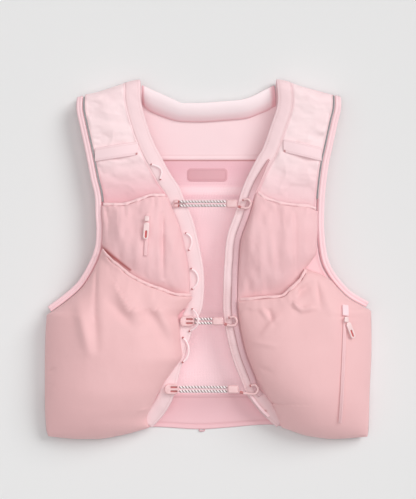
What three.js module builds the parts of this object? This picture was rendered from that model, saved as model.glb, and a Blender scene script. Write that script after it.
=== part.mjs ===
// A running hydration vest, laid flat on its back on the ground.
// Millimetres, +Z up, +Y towards the shoulders, +X towards the wearer's left side seen from above.
import * as THREE from "three";
import { mergeVertices } from "three/addons/utils/BufferGeometryUtils.js";

// Overall sizes of the vest
const vestWidth = 390;
const vestLength = 430;
const frontRise = 30; // height of the front panels over the ground
const foldHeight = 12; // height of the fold line at the shoulders
const foldReach = 13; // how far the shoulder fold's rounding reaches in
const sideCurl = 12; // height that the back curls up to at the side folds
const curlReach = 14; // width of that curl

// Cloth and trim
const cloth = 1.6;
const seamGap = 0.4;
const bindingWidth = 17;
const armBandWidth = 7.5;
const armBandThick = 2.8;
const bandClear = 3; // from the armhole band to a pocket
const pipingRadius = 1.1;
const pipingStart = 0.004; // share of the armhole where the piping starts
const pipingLength = 0.46; // and how much of it the piping runs along
const pipingRise = 0.5;
const keeperWidth = 14.7;
const keeperThick = 1.4;
const keeperLift = 1.8;
const rimRadius = 1.5;
const rimPucker = 0.8;
const labelWidth = 48;
const labelHeight = 15.6;
const labelCorner = 4;
const labelThick = 1;

// Pockets
const chestPuff = 20;
const lowerPuff = 34;

// Closures across the front
const strandRadius = 1.65;
const strandPitch = 4.8;
const strandSag = 1.5;
const sleeveLength = 13;
const sleeveWidth = 9.6;
const sleeveThick = 4.6;
const hookWire = 3.2;
const hookBarPitch = 9.6; // distance between a hook's two bars
const hookTip = 8; // how far the open end reaches back past the rail's middle
const clipLength = 17;
const clipWidth = 12.6;
const clipThick = 4.2;
const slotWidth = 1.9;
const slotLength = 8;
const socketLength = 7;
const socketRadius = 2.3;
const railWidth = 7;
const railThick = 2.6;
const railInset = 12.6;
const loopRadius = 1;
const endLoopWidth = 3.6;
const endLoopThick = 1.4;
const endLoopInset = 2.6;

// Zips
const zipWidth = 3.4;
const zipThick = 1.2;
const zipGap = 0.7;
const pullWidth = 6.6;
const pullLength = 20;
const pullThick = 2;
const pullSlotWidth = 2.4;
const pullSlotLength = 9;
const sliderLength = 6.4;
const sliderWidth = 5.4;
const sliderThick = 3;
const garageWidth = 8;
const garageLength = 13.5;

const halfWidth = vestWidth / 2;
const halfLength = vestLength / 2;
const SIDES = { left: -1, right: 1 };

// Plan outlines: out is a share of half the width from the middle, up a share of half the length.
// The armhole, from the shoulder corner to the underarm corner
const ARMHOLE = {
  left: [
    { out: 0.805, up: 0.895 },
    { out: 0.806, up: 0.83 },
    { out: 0.788, up: 0.748 },
    { out: 0.75, up: 0.592 },
    { out: 0.717, up: 0.441 },
    { out: 0.693, up: 0.347 },
    { out: 0.689, up: 0.246 },
    { out: 0.684, up: 0.162 },
    { out: 0.696, up: 0.051 },
    { out: 0.791, up: -0.117 },
    { out: 0.873, up: -0.189 },
    { out: 0.985, up: -0.264 },
  ],
  right: [
    { out: 0.815, up: 0.9 },
    { out: 0.812, up: 0.83 },
    { out: 0.792, up: 0.754 },
    { out: 0.757, up: 0.609 },
    { out: 0.737, up: 0.525 },
    { out: 0.718, up: 0.393 },
    { out: 0.71, up: 0.296 },
    { out: 0.709, up: 0.162 },
    { out: 0.733, up: 0.0 },
    { out: 0.773, up: -0.075 },
    { out: 0.826, up: -0.136 },
    { out: 0.882, up: -0.184 },
    { out: 0.985, up: -0.238 },
  ],
};

// The front opening's edge, from the shoulder fold to the hem
const FRONT_EDGE = {
  left: [
    { out: 0.421, up: 0.996 },
    { out: 0.412, up: 0.863 },
    { out: 0.342, up: 0.659 },
    { out: 0.293, up: 0.571 },
    { out: 0.23, up: 0.466 },
    { out: 0.183, up: 0.403 },
    { out: 0.149, up: 0.329 },
    { out: 0.095, up: 0.211 },
    { out: 0.057, up: 0.069 },
    { out: 0.033, up: -0.05 },
    { out: 0.029, up: -0.172 },
    { out: 0.043, up: -0.279 },
    { out: 0.09, up: -0.37 },
    { out: 0.12, up: -0.45 },
    { out: 0.14, up: -0.52 },
    { out: 0.168, up: -0.6 },
    { out: 0.192, up: -0.68 },
    { out: 0.214, up: -0.76 },
    { out: 0.266, up: -0.85 },
    { out: 0.345, up: -0.935 },
  ],
  right: [
    { out: 0.42, up: 0.999 },
    { out: 0.427, up: 0.863 },
    { out: 0.383, up: 0.735 },
    { out: 0.333, up: 0.609 },
    { out: 0.297, up: 0.553 },
    { out: 0.211, up: 0.391 },
    { out: 0.171, up: 0.268 },
    { out: 0.117, up: 0.126 },
    { out: 0.102, up: -0.005 },
    { out: 0.094, up: -0.167 },
    { out: 0.094, up: -0.295 },
    { out: 0.113, up: -0.41 },
    { out: 0.151, up: -0.55 },
    { out: 0.198, up: -0.66 },
    { out: 0.236, up: -0.745 },
    { out: 0.275, up: -0.795 },
    { out: 0.319, up: -0.845 },
    { out: 0.42, up: -0.932 },
  ],
};

// The side fold below the underarm, as seen from above
const SIDE_FOLD = {
  left: [
    { up: -0.264, out: 0.985 },
    { up: -0.42, out: 0.996 },
    { up: -0.59, out: 1 },
    { up: -0.79, out: 1 },
    { up: -0.948, out: 0.992 },
    { up: -1, out: 0.975 },
  ],
  right: [
    { up: -0.238, out: 0.985 },
    { up: -0.3, out: 0.997 },
    { up: -0.475, out: 1 },
    { up: -0.757, out: 0.988 },
    { up: -0.948, out: 0.982 },
    { up: -1, out: 0.975 },
  ],
};

// The shoulder fold's line from the neck to the arm
const SHOULDER_FOLD = [
  { out: 0.36, up: 0.999 },
  { out: 0.42, up: 0.998 },
  { out: 0.487, up: 0.987 },
  { out: 0.54, up: 0.969 },
  { out: 0.62, up: 0.945 },
  { out: 0.69, up: 0.925 },
  { out: 0.77, up: 0.911 },
  { out: 0.84, up: 0.893 },
];

// Height of the front panels as shares of frontRise: at the front edge, half way and at the arm or side
const RISE = [
  { up: 1, edge: 0.78, middle: 0.86, arm: 0.76 },
  { up: 0.6, edge: 0.86, middle: 0.96, arm: 0.84 },
  { up: 0.3, edge: 1.0, middle: 1.0, arm: 0.9 },
  { up: 0, edge: 1.05, middle: 0.98, arm: 0.92 },
  { up: -0.2, edge: 1.05, middle: 0.94, arm: 0.66 },
  { up: -0.3, edge: 1.05, middle: 0.9, arm: 0.47 },
  { up: -0.7, edge: 0.95, middle: 0.8, arm: 0.45 },
  { up: -0.9, edge: 0.6, middle: 0.5, arm: 0.42 },
  { up: -1, edge: 0.3, middle: 0.3, arm: 0.36 },
];

// How much of the side curl the back's edge has
const CURL = [
  { up: 1, share: 0.12 },
  { up: 0.2, share: 0.12 },
  { up: -0.05, share: 0.3 },
  { up: -0.2, share: 0.75 },
  { up: -0.3, share: 1 },
  { up: -0.9, share: 1 },
  { up: -1, share: 0.75 },
];

// The collar band: its outer edge at the neck and its lower edge, signed across the neck
const NECK = [
  { topOut: -0.405, topUp: 0.965, lowOut: -0.405, lowUp: 0.868 },
  { topOut: -0.373, topUp: 0.952, lowOut: -0.367, lowUp: 0.834 },
  { topOut: -0.307, topUp: 0.925, lowOut: -0.292, lowUp: 0.803 },
  { topOut: -0.229, topUp: 0.893, lowOut: -0.244, lowUp: 0.787 },
  { topOut: -0.15, topUp: 0.866, lowOut: -0.166, lowUp: 0.771 },
  { topOut: -0.05, topUp: 0.867, lowOut: -0.05, lowUp: 0.768 },
  { topOut: 0.09, topUp: 0.876, lowOut: 0.09, lowUp: 0.776 },
  { topOut: 0.196, topUp: 0.884, lowOut: 0.196, lowUp: 0.784 },
  { topOut: 0.243, topUp: 0.895, lowOut: 0.243, lowUp: 0.79 },
  { topOut: 0.294, topUp: 0.914, lowOut: 0.314, lowUp: 0.814 },
  { topOut: 0.337, topUp: 0.935, lowOut: 0.36, lowUp: 0.831 },
  { topOut: 0.405, topUp: 0.965, lowOut: 0.415, lowUp: 0.86 },
];
const neckRise = 13; // height of the collar's top edge

const panelTopUp = 0.93; // shares of half the length between which the front panels run
const panelFootUp = -0.945;
const yokeLine = 0.547; // share of half the length where the yoke ends
const backBandLine = -0.753; // and where the lower band starts

// Hem of the back, signed across
const BACK_HEM = [
  { out: -1, up: -0.985 },
  { out: -0.6, up: -0.965 },
  { out: -0.34, up: -0.938 },
  { out: -0.05, up: -0.951 },
  { out: 0.1, up: -0.943 },
  { out: 0.38, up: -0.925 },
  { out: 0.6, up: -0.96 },
  { out: 1, up: -0.985 },
];

// Chest pockets: rim height by share across from the front edge, and the arm side's outline
const CHEST_RIM = {
  left: [
    { across: 0, up: 0.342 },
    { across: 0.2, up: 0.342 },
    { across: 0.42, up: 0.32 },
    { across: 0.72, up: 0.291 },
    { across: 1, up: 0.291 },
  ],
  right: [
    { across: 0, up: 0.361 },
    { across: 0.22, up: 0.319 },
    { across: 0.58, up: 0.29 },
    { across: 0.85, up: 0.282 },
    { across: 1, up: 0.262 },
  ],
};
const CHEST_SIDE = {
  left: [
    { up: 0.4, out: 0.645 },
    { up: 0.29, out: 0.648 },
    { up: 0.23, out: 0.655 },
    { up: 0.05, out: 0.64 },
    { up: -0.1, out: 0.58 },
    { up: -0.28, out: 0.47 },
  ],
  right: [
    { up: 0.4, out: 0.67 },
    { up: 0.26, out: 0.668 },
    { up: 0.14, out: 0.663 },
    { up: 0.04, out: 0.655 },
    { up: -0.05, out: 0.594 },
    { up: -0.11, out: 0.572 },
    { up: -0.28, out: 0.5 },
  ],
};
const chestFoot = -0.275; // share of half the length where the chest pockets end, inside the lower ones

// Fullness of a chest pocket from its rim to its foot
const CHEST_FULL = [
  { along: 0, puff: 0.34 },
  { along: 0.08, puff: 0.52 },
  { along: 0.25, puff: 0.85 },
  { along: 0.45, puff: 1 },
  { along: 0.65, puff: 0.8 },
  { along: 0.85, puff: 0.34 },
  { along: 1, puff: 0 },
];

// Lower pockets: scooped rim by share across, front edge and arm side outlines
const LOWER_RIM = {
  left: [
    { across: 0, up: -0.21 },
    { across: 0.137, up: -0.204 },
    { across: 0.262, up: -0.176 },
    { across: 0.382, up: -0.153 },
    { across: 0.584, up: -0.101 },
    { across: 0.751, up: -0.044 },
    { across: 0.858, up: -0.011 },
    { across: 1, up: 0.05 },
  ],
  right: [
    { across: 0, up: -0.234 },
    { across: 0.255, up: -0.22 },
    { across: 0.392, up: -0.212 },
    { across: 0.51, up: -0.173 },
    { across: 0.8, up: -0.087 },
    { across: 1, up: -0.059 },
  ],
};
const LOWER_FRONT = {
  left: [
    { up: 0.1, out: 0.15 },
    { up: -0.05, out: 0.122 },
    { up: -0.21, out: 0.102 },
    { up: -0.26, out: 0.14 },
    { up: -0.318, out: 0.187 },
    { up: -0.38, out: 0.178 },
    { up: -0.455, out: 0.172 },
    { up: -0.535, out: 0.164 },
    { up: -0.602, out: 0.209 },
    { up: -0.678, out: 0.269 },
    { up: -0.82, out: 0.351 },
    { up: -0.887, out: 0.381 },
    { up: -0.95, out: 0.366 },
    { up: -1, out: 0.37 },
  ],
  right: [
    { up: 0.1, out: 0.19 },
    { up: -0.228, out: 0.188 },
    { up: -0.31, out: 0.19 },
    { up: -0.4, out: 0.197 },
    { up: -0.558, out: 0.243 },
    { up: -0.686, out: 0.313 },
    { up: -0.8, out: 0.391 },
    { up: -0.935, out: 0.454 },
    { up: -1, out: 0.47 },
  ],
};
const LOWER_SHOULDER = {
  left: [
    { up: 0.2, out: 0.7 },
    { up: -0.3, out: 1.1 },
  ],
  right: [
    { up: -0.04, out: 0.56 },
    { up: -0.059, out: 0.604 },
    { up: -0.087, out: 0.69 },
    { up: -0.123, out: 0.755 },
    { up: -0.195, out: 0.85 },
    { up: -0.225, out: 0.885 },
    { up: -0.25, out: 0.922 },
    { up: -0.275, out: 0.965 },
    { up: -0.29, out: 1.1 },
  ],
};
const LOWER_HEM = {
  left: [
    { across: 0, up: -0.937 },
    { across: 0.28, up: -0.98 },
    { across: 0.52, up: -1 },
    { across: 0.7, up: -1 },
    { across: 1, up: -0.985 },
  ],
  right: [
    { across: 0, up: -0.935 },
    { across: 0.3, up: -0.984 },
    { across: 0.6, up: -1 },
    { across: 1, up: -0.987 },
  ],
};
// Fullness of a lower pocket from its rim to its hem
const LOWER_FULL = [
  { along: 0, puff: 0.5 },
  { along: 0.05, puff: 0.58 },
  { along: 0.15, puff: 0.76 },
  { along: 0.3, puff: 0.93 },
  { along: 0.5, puff: 1 },
  { along: 0.68, puff: 0.97 },
  { along: 0.8, puff: 0.87 },
  { along: 0.89, puff: 0.7 },
  { along: 0.95, puff: 0.5 },
  { along: 0.985, puff: 0.28 },
  { along: 1, puff: 0 },
];

// Soft folds on the pockets: a ridge or dent from one place to another, shares as in the outlines
const FOLDS = {
  left: [
    { out: 0.27, up: 0.26, toOut: 0.28, toUp: -0.02, depth: -3.2, spread: 7 },
    { out: 0.5, up: 0.24, toOut: 0.47, toUp: 0.02, depth: 2, spread: 14 },
    { out: 0.68, up: -0.12, toOut: 0.74, toUp: -0.5, depth: 3, spread: 16 },
    { out: 0.5, up: -0.14, toOut: 0.44, toUp: -0.4, depth: 3, spread: 12 },
    { out: 0.33, up: -0.22, toOut: 0.25, toUp: -0.45, depth: 2.6, spread: 11 },
    { out: 0.4, up: -0.2, toOut: 0.36, toUp: -0.42, depth: -2.4, spread: 8 },
  ],
  right: [
    { out: 0.42, up: 0.24, toOut: 0.4, toUp: -0.14, depth: -2.2, spread: 9 },
    { out: 0.545, up: 0.24, toOut: 0.54, toUp: -0.14, depth: -2.8, spread: 7 },
    { out: 0.48, up: 0.2, toOut: 0.47, toUp: -0.1, depth: 2, spread: 10 },
    { out: 0.55, up: -0.14, toOut: 0.4, toUp: -0.42, depth: 3.2, spread: 12 },
    { out: 0.38, up: -0.27, toOut: 0.3, toUp: -0.38, depth: -2, spread: 9 },
    { out: 0.66, up: -0.12, toOut: 0.8, toUp: -0.45, depth: 2.4, spread: 15 },
  ],
};

// Edge loops on the left: where each leaves the edge and how far it stands out
const EDGE_LOOPS = [
  { up: 0.525, toUp: 0.436, out: 0.352, toOut: 0.292, bulge: 0.283, hump: 1 },
  { up: 0.146, toUp: 0.047, out: 0.14, toOut: 0.12, bulge: 0.1, hump: 1 },
  { up: -0.05, toUp: -0.168, out: 0.108, toOut: 0.102, bulge: 0.061, hump: 1 },
  { up: -0.273, toUp: -0.4, out: 0.1, toOut: 0.118, bulge: 0.06, hump: 6.6 },
  { up: -0.43, toUp: -0.574, out: 0.158, toOut: 0.16, bulge: 0.118, hump: 1 },
];

// Closures: height along the vest, where the left end sits and where the sleeve starts
const CLOSURES = {
  top: { up: 0.306, from: -0.213, sleeve: 0.11, end: "socket" },
  middle: { up: -0.342, from: -0.171, sleeve: 0.025, end: "clip" },
  bottom: { up: -0.719, from: -0.266, sleeve: 0.118, end: "clip" },
};

// Stretch of the right front edge, as shares of its length, that the rail and its end loop follow
const RAIL = { from: 0.21, to: 0.905 };
const END_LOOP = { from: 0.885, to: 0.965 };

// Zips, as shares: the chest zip on the left and the side zip on the right
const CHEST_ZIP = { out: 0.366, up: 0.25, toOut: 0.378, toUp: 0.02 };
const SIDE_ZIP = { out: 0.826, up: -0.335, toOut: 0.8, toUp: -0.9 };
const GARAGE = { out: 0.826, up: -0.283 };
const CHEST_PULL = { out: 0.37, up: 0.215, turn: -0.07 };
const SIDE_PULL = { out: 0.822, up: -0.333, turn: 0.42 };

// Shoulder straps that keep a tube in place, from the arm side to the front edge
const KEEPER = {
  left: { out: 0.69, up: 0.576, toOut: 0.43, toUp: 0.612 },
  right: { out: 0.69, up: 0.579, toOut: 0.46, toUp: 0.628 },
};

// Label place and hem loop on the back, as shares
const labelOut = -0.005;
const labelUp = 0.471;
const hemLoopOut = -0.039;
const hemLoopWidth = 5;
const hemLoopReach = 2;

// How finely the long pieces are divided
const STEPS = {
  arm: { along: 18 },
  path: { along: 90 },
  piping: { along: 16 },
  yoke: { across: 26, along: 3 },
  back: { across: 10, along: 13 },
  hemBand: { along: 3 },
  neck: { across: 18, along: 3 },
  panel: { across: 8, along: 23 },
  binding: { across: 1, along: 28 },
  chest: { across: 10, along: 10 },
  lower: { across: 13, along: 13 },
  rim: { perColumn: 2 }, // pieces of rim for each column of its pocket
  rail: { along: 17 },
  endLoop: { along: 8 },
  zip: { along: 12 },
};

// A column of a table at a place, by a smooth curve through its rows
const risingRows = new Map();
function inRisingOrder(rows, key) {
  if (!risingRows.has(rows)) {
    const rising = rows[rows.length - 1][key] > rows[0][key];
    risingRows.set(rows, rising ? rows : [...rows].reverse());
  }
  return risingRows.get(rows);
}
function read(rows, key, column, at) {
  const sorted = inRisingOrder(rows, key);
  const last = sorted.length - 1;
  if (at <= sorted[0][key]) return sorted[0][column];
  if (at >= sorted[last][key]) return sorted[last][column];
  let i = 0;
  while (sorted[i + 1][key] < at) i += 1;
  const slope = (a, b) => (sorted[b][column] - sorted[a][column]) / (sorted[b][key] - sorted[a][key]);
  const tangent = (k) => {
    if (k === 0) return slope(0, 1);
    if (k === last) return slope(last - 1, last);
    const before = slope(k - 1, k);
    const after = slope(k, k + 1);
    return before * after <= 0 ? 0 : (2 * before * after) / (before + after);
  };
  const span = sorted[i + 1][key] - sorted[i][key];
  const t = (at - sorted[i][key]) / span;
  const a = sorted[i][column];
  const b = sorted[i + 1][column];
  return (
    a * (1 + 2 * t) * (1 - t) ** 2 +
    tangent(i) * span * t * (1 - t) ** 2 +
    b * t * t * (3 - 2 * t) +
    tangent(i + 1) * span * t * t * (t - 1)
  );
}

const { clamp, lerp, smoothstep } = THREE.MathUtils;

// A curve in plan through a table's rows
function planCurve(side, rows) {
  const points = rows.map((r) => new THREE.Vector3(SIDES[side] * r.out * halfWidth, r.up * halfLength, 0));
  return new THREE.CatmullRomCurve3(points, false, "centripetal");
}
const armCurve = { left: planCurve("left", ARMHOLE.left), right: planCurve("right", ARMHOLE.right) };
const frontCurve = {
  left: planCurve("left", FRONT_EDGE.left),
  right: planCurve("right", FRONT_EDGE.right),
};

function shoulderTop(out) {
  return read(SHOULDER_FOLD, "out", "up", out / halfWidth) * halfLength;
}

// A point beside a plan curve, set in by a distance towards the panel
function beside(curve, t, inset, turn) {
  const at = curve.getPointAt(t);
  const along = curve.getTangentAt(t);
  return new THREE.Vector3(at.x + turn * along.y * inset, at.y - turn * along.x * inset, 0);
}

// A point beside the armhole; at the shoulder the inset follows the fold's line
const cornerShare = 0.09;
function besideArm(side, t, inset) {
  const sign = SIDES[side];
  const free = beside(armCurve[side], t, inset, sign);
  const corner = armCurve[side].getPointAt(t);
  const out = Math.abs(corner.x) - inset;
  const drop = shoulderTop(Math.abs(corner.x)) - corner.y;
  const along = new THREE.Vector3(sign * out, shoulderTop(out) - drop, 0);
  return free.lerp(along, 1 - smoothstep(t, 0, cornerShare));
}

// A point beside the front edge, on the panel's side; at the shoulder it too follows the fold's line
function besideFront(side, t, inset) {
  const sign = SIDES[side];
  const free = beside(frontCurve[side], t, inset, -sign);
  const corner = frontCurve[side].getPointAt(t);
  const out = Math.abs(corner.x) + inset;
  const drop = shoulderTop(Math.abs(corner.x)) - corner.y;
  const along = new THREE.Vector3(sign * out, shoulderTop(out) - drop, 0);
  return free.lerp(along, 1 - smoothstep(t, 0, cornerShare));
}

// The distance out from the middle at which a plan path crosses each height, kept once worked out
const crossings = new Map();
function crossing(name, side, inset, y) {
  const key = `${name} ${side} ${inset.toFixed(3)}`;
  if (!crossings.has(key)) {
    const path = name === "arm" ? besideArm : besideFront;
    const rows = [];
    for (let k = 0; k <= STEPS.path.along; k += 1) {
      const at = path(side, k / STEPS.path.along, inset);
      if (!rows.length || at.y < rows.at(-1).y - 1e-3) rows.push({ y: at.y, out: Math.abs(at.x) });
    }
    crossings.set(key, rows);
  }
  const rows = crossings.get(key);
  let i = 0;
  while (i < rows.length - 2 && rows[i + 1].y > y) i += 1;
  const most = name === "front" && i === rows.length - 2 ? Infinity : 1;
  const t = clamp((rows[i].y - y) / (rows[i].y - rows[i + 1].y), 0, most);
  return lerp(rows[i].out, rows[i + 1].out, t);
}
function frontOut(side, y, inset) {
  return crossing("front", side, inset, y);
}

// Distance out of the side, from the shoulder to the hem: set in along the armhole, and by another
// distance along the side fold
function sideOut(side, y, armInset, foldInset) {
  const corner = besideArm(side, 1, armInset);
  const fold = read(SIDE_FOLD[side], "up", "out", y / halfLength) * halfWidth - foldInset;
  const arm = crossing("arm", side, armInset, y);
  return lerp(arm, fold, clamp((corner.y - y) / cornerDrop, 0, 1));
}
const cornerDrop = 2.5;

// Rounding at the shoulder: 0 on the fold's line, 1 where the cloth lies flat
function foldShare(x, y) {
  const drop = shoulderTop(Math.abs(x)) - y;
  const t = clamp(1 - drop / foldReach, 0, 1);
  return Math.sqrt(1 - t * t);
}

// Height of the middle of the front cloth
function frontHeight(x, y) {
  const side = x < 0 ? "left" : "right";
  const up = y / halfLength;
  const inner = frontOut(side, y, 0);
  const outer = sideOut(side, y, 0, 0);
  const s = clamp((Math.abs(x) - inner) / (outer - inner), 0, 1);
  const edge = read(RISE, "up", "edge", up);
  const middle = read(RISE, "up", "middle", up);
  const arm = read(RISE, "up", "arm", up);
  const share = lerp(edge, arm, s) + 4 * (middle - (edge + arm) / 2) * s * (1 - s);
  return foldHeight + (share * frontRise - foldHeight) * foldShare(x, y);
}

// Height of the middle of the back cloth
const backFold = foldHeight - seamGap - cloth;
function backHeight(x, y) {
  const side = x < 0 ? "left" : "right";
  const outer = sideOut(side, y, 0, 0);
  const near = clamp(1 - (outer - Math.abs(x)) / curlReach, 0, 1);
  const curl = sideCurl * read(CURL, "up", "share", y / halfLength) * (1 - Math.sqrt(1 - near * near));
  return backFold + (cloth / 2 + curl - backFold) * foldShare(x, y);
}

// Height that the soft folds add
function foldsAt(side, x, y) {
  let sum = 0;
  const here = new THREE.Vector2(Math.abs(x), y);
  for (const f of FOLDS[side]) {
    const a = new THREE.Vector2(f.out * halfWidth, f.up * halfLength);
    const b = new THREE.Vector2(f.toOut * halfWidth, f.toUp * halfLength);
    const line = b.clone().sub(a);
    const t = clamp(here.clone().sub(a).dot(line) / line.lengthSq(), 0, 1);
    const off = here.distanceTo(a.addScaledVector(line, t));
    sum += f.depth * Math.exp(-((off / f.spread) ** 2)) * (0.4 + 0.6 * Math.sin(Math.PI * t));
  }
  return sum;
}

const layer = cloth + seamGap;
const round = (s) => Math.sqrt(Math.max(0, 1 - (2 * s - 1) ** 2));

// Outline of a chest pocket and its height over the front cloth
function chestIn(side, y) {
  return frontOut(side, y, bindingWidth + seamGap);
}
function chestOut(side, y) {
  const own = read(CHEST_SIDE[side], "up", "out", y / halfLength) * halfWidth;
  return Math.min(own, crossing("arm", side, armBandWidth + 2 * seamGap, y));
}
function chestRim(side, s) {
  return read(CHEST_RIM[side], "across", "up", s) * halfLength;
}
const chestFootY = chestFoot * halfLength;
function chestLift(x, y) {
  const side = x < 0 ? "left" : "right";
  const s = (Math.abs(x) - chestIn(side, y)) / (chestOut(side, y) - chestIn(side, y));
  if (s < 0 || s > 1) return 0;
  const along = (chestRim(side, s) - y) / (chestRim(side, s) - chestFootY);
  if (along < -0.03 || along > 1) return 0;
  const full = read(CHEST_FULL, "along", "puff", along);
  return layer + round(s) * full * (chestPuff + foldsAt(side, x, y));
}

// Outline of a lower pocket and its height over the front cloth; the right one stays clear of the rail
const railEnd = -0.8;
function lowerIn(side, y) {
  const own = read(LOWER_FRONT[side], "up", "out", y / halfLength) * halfWidth;
  if (side === "left" || y < railEnd * halfLength) return own;
  return Math.max(own, frontOut(side, y, railInset + railWidth / 2 + layer));
}
function lowerOut(side, y) {
  const own = read(LOWER_SHOULDER[side], "up", "out", y / halfLength) * halfWidth;
  return Math.min(own, sideOut(side, y, armBandWidth + bandClear, 0));
}
function lowerRim(side, s) {
  return read(LOWER_RIM[side], "across", "up", s) * halfLength;
}
function lowerHem(side, s) {
  return read(LOWER_HEM[side], "across", "up", s) * halfLength;
}
const mouthGap = 1.5; // how far the lower pocket's mouth stands off the chest pocket
const mouthSpread = 3; // softness of its rest there
function lowerLift(side, s, along, x, y) {
  const full = read(LOWER_FULL, "along", "puff", along);
  const seam = layer * lerp(2, 1, clamp(along / 0.3, 0, 1));
  const own = seam + round(s) * full * (lowerPuff + foldsAt(side, x, y));
  const near = 2 * rimRadius;
  const inwards = x - Math.sign(x) * near;
  const under = Math.max(chestLift(x, y), chestLift(x, y + near), chestLift(inwards, y));
  if (!under) return own;
  const least = under + layer + rimRadius + mouthGap;
  const over = clamp(0.5 + (own - least) / (2 * mouthSpread), 0, 1);
  return Math.max(least, lerp(least, own, over) + mouthSpread * over * (1 - over));
}

// A geometry from shared points and triangles, turned so that its faces point out
function closed(points, triangles) {
  let volume = 0;
  for (const [a, b, c] of triangles) volume += points[a].dot(points[b].clone().cross(points[c]));
  const faces = volume < 0 ? triangles.map(([a, b, c]) => [a, c, b]) : triangles;
  const geometry = new THREE.BufferGeometry();
  const flat = points.flatMap((p) => [p.x, p.y, p.z]);
  geometry.setAttribute("position", new THREE.Float32BufferAttribute(flat, 3));
  geometry.setIndex(faces.flat());
  geometry.computeVertexNormals();
  return geometry;
}

// A wall of cloth along a surface: point(u, v) is its middle, with u and v from 0 to 1
function sheet(point, across, along, thick) {
  const step = 1e-3;
  const points = [];
  for (const lift of [thick / 2, -thick / 2]) {
    for (let j = 0; j <= along; j += 1) {
      for (let i = 0; i <= across; i += 1) {
        const u = i / across;
        const v = j / along;
        const du = point(Math.min(u + step, 1), v).sub(point(Math.max(u - step, 0), v));
        const dv = point(u, Math.min(v + step, 1)).sub(point(u, Math.max(v - step, 0)));
        const normal = du.cross(dv).normalize();
        points.push(point(u, v).addScaledVector(normal, lift));
      }
    }
  }
  const half = points.length / 2;
  const id = (i, j) => j * (across + 1) + i;
  const triangles = [];
  for (let j = 0; j < along; j += 1) {
    for (let i = 0; i < across; i += 1) {
      const [a, b, c, d] = [id(i, j), id(i + 1, j), id(i + 1, j + 1), id(i, j + 1)];
      triangles.push([a, b, c], [a, c, d]);
      triangles.push([a + half, c + half, b + half], [a + half, d + half, c + half]);
    }
  }
  const ring = [];
  for (let i = 0; i < across; i += 1) ring.push(id(i, 0));
  for (let j = 0; j < along; j += 1) ring.push(id(across, j));
  for (let i = across; i > 0; i -= 1) ring.push(id(i, along));
  for (let j = along; j > 0; j -= 1) ring.push(id(0, j));
  ring.forEach((a, k) => {
    const b = ring[(k + 1) % ring.length];
    triangles.push([a, a + half, b + half], [a, b + half, b]);
  });
  return closed(points, triangles);
}

// A section carried along frames of centre, across and up; a loop joins its ends
function sweep(frames, section, loop = false) {
  const points = [];
  frames.forEach(({ centre, across, up }, k) => {
    for (const [a, n] of section(k / (frames.length - 1))) {
      points.push(centre.clone().addScaledVector(across, a).addScaledVector(up, n));
    }
  });
  const sides = section(0).length;
  const rounds = loop ? frames.length : frames.length - 1;
  const triangles = [];
  for (let k = 0; k < rounds; k += 1) {
    for (let i = 0; i < sides; i += 1) {
      const a = k * sides + i;
      const b = k * sides + ((i + 1) % sides);
      const c = ((k + 1) % frames.length) * sides + ((i + 1) % sides);
      const d = ((k + 1) % frames.length) * sides + i;
      triangles.push([a, b, c], [a, c, d]);
    }
  }
  if (!loop) {
    const end = (frames.length - 1) * sides;
    for (let i = 1; i < sides - 1; i += 1) {
      triangles.push([0, i + 1, i]);
      triangles.push([end, end + i, end + i + 1]);
    }
  }
  return closed(points, triangles);
}

// Corners of a round section
function ringOf(radius, sides) {
  const turn = (2 * Math.PI) / sides;
  return Array.from({ length: sides }, (_, i) => [radius * Math.cos(i * turn), radius * Math.sin(i * turn)]);
}

// A tube along points
function tube(points, radius, sides, steps) {
  const outline = ringOf(radius, sides).map(([a, n]) => new THREE.Vector2(a, n));
  const geometry = new THREE.ExtrudeGeometry(new THREE.Shape(outline), {
    steps,
    bevelEnabled: false,
    extrudePath: new THREE.CatmullRomCurve3(points, false, "centripetal"),
  });
  return bare(geometry);
}

// A geometry with shared points only
function bare(geometry) {
  geometry.deleteAttribute("normal");
  geometry.deleteAttribute("uv");
  const merged = mergeVertices(geometry, 1e-4);
  merged.computeVertexNormals();
  return merged;
}

// An outline with rounded corners about a place
function roundedOutline(path, { x = 0, y = 0, length, width, corner }) {
  const [l, r, b, t] = [x - length / 2, x + length / 2, y - width / 2, y + width / 2];
  path.moveTo(l + corner, b);
  path.absarc(r - corner, b + corner, corner, -Math.PI / 2, 0, false);
  path.absarc(r - corner, t - corner, corner, 0, Math.PI / 2, false);
  path.absarc(l + corner, t - corner, corner, Math.PI / 2, Math.PI, false);
  path.absarc(l + corner, b + corner, corner, Math.PI, 1.5 * Math.PI, false);
  return path;
}

// A flat plate with rounded corners and holes, lying in X and Y about its middle
function plate(outline, thick, holes = []) {
  const shape = roundedOutline(new THREE.Shape(), outline);
  for (const hole of holes) shape.holes.push(roundedOutline(new THREE.Path(), hole));
  const geometry = new THREE.ExtrudeGeometry(shape, { depth: thick, bevelEnabled: false, curveSegments: 2 });
  geometry.translate(0, 0, -thick / 2);
  return bare(geometry);
}

// Finishes
const finish = {
  woven: { color: 0xf3d3d7, roughness: 0.75 },
  mesh: { color: 0xefbfc8, roughness: 0.85 },
  tape: { color: 0xf7dde0, roughness: 0.45 },
  satin: { color: 0xe8babe, roughness: 0.6 },
  piping: { color: 0x9a9898, roughness: 0.35, metalness: 0.3 },
  plastic: { color: 0xf2c4c8, roughness: 0.4 },
  braid: { color: 0xeee6e6, roughness: 0.8 },
  rail: { color: 0xc9a3aa, roughness: 0.55 },
};

const vest = new THREE.Group();
function add(name, geometry, look) {
  const mesh = new THREE.Mesh(geometry, new THREE.MeshStandardMaterial(finish[look]));
  mesh.name = name;
  vest.add(mesh);
  return mesh;
}

const at = (x, y, z) => new THREE.Vector3(x, y, z);
const onFront = (x, y, lift = 0) => at(x, y, frontHeight(x, y) + lift);
const onBack = (x, y, lift = 0) => at(x, y, backHeight(x, y) + lift);

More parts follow.
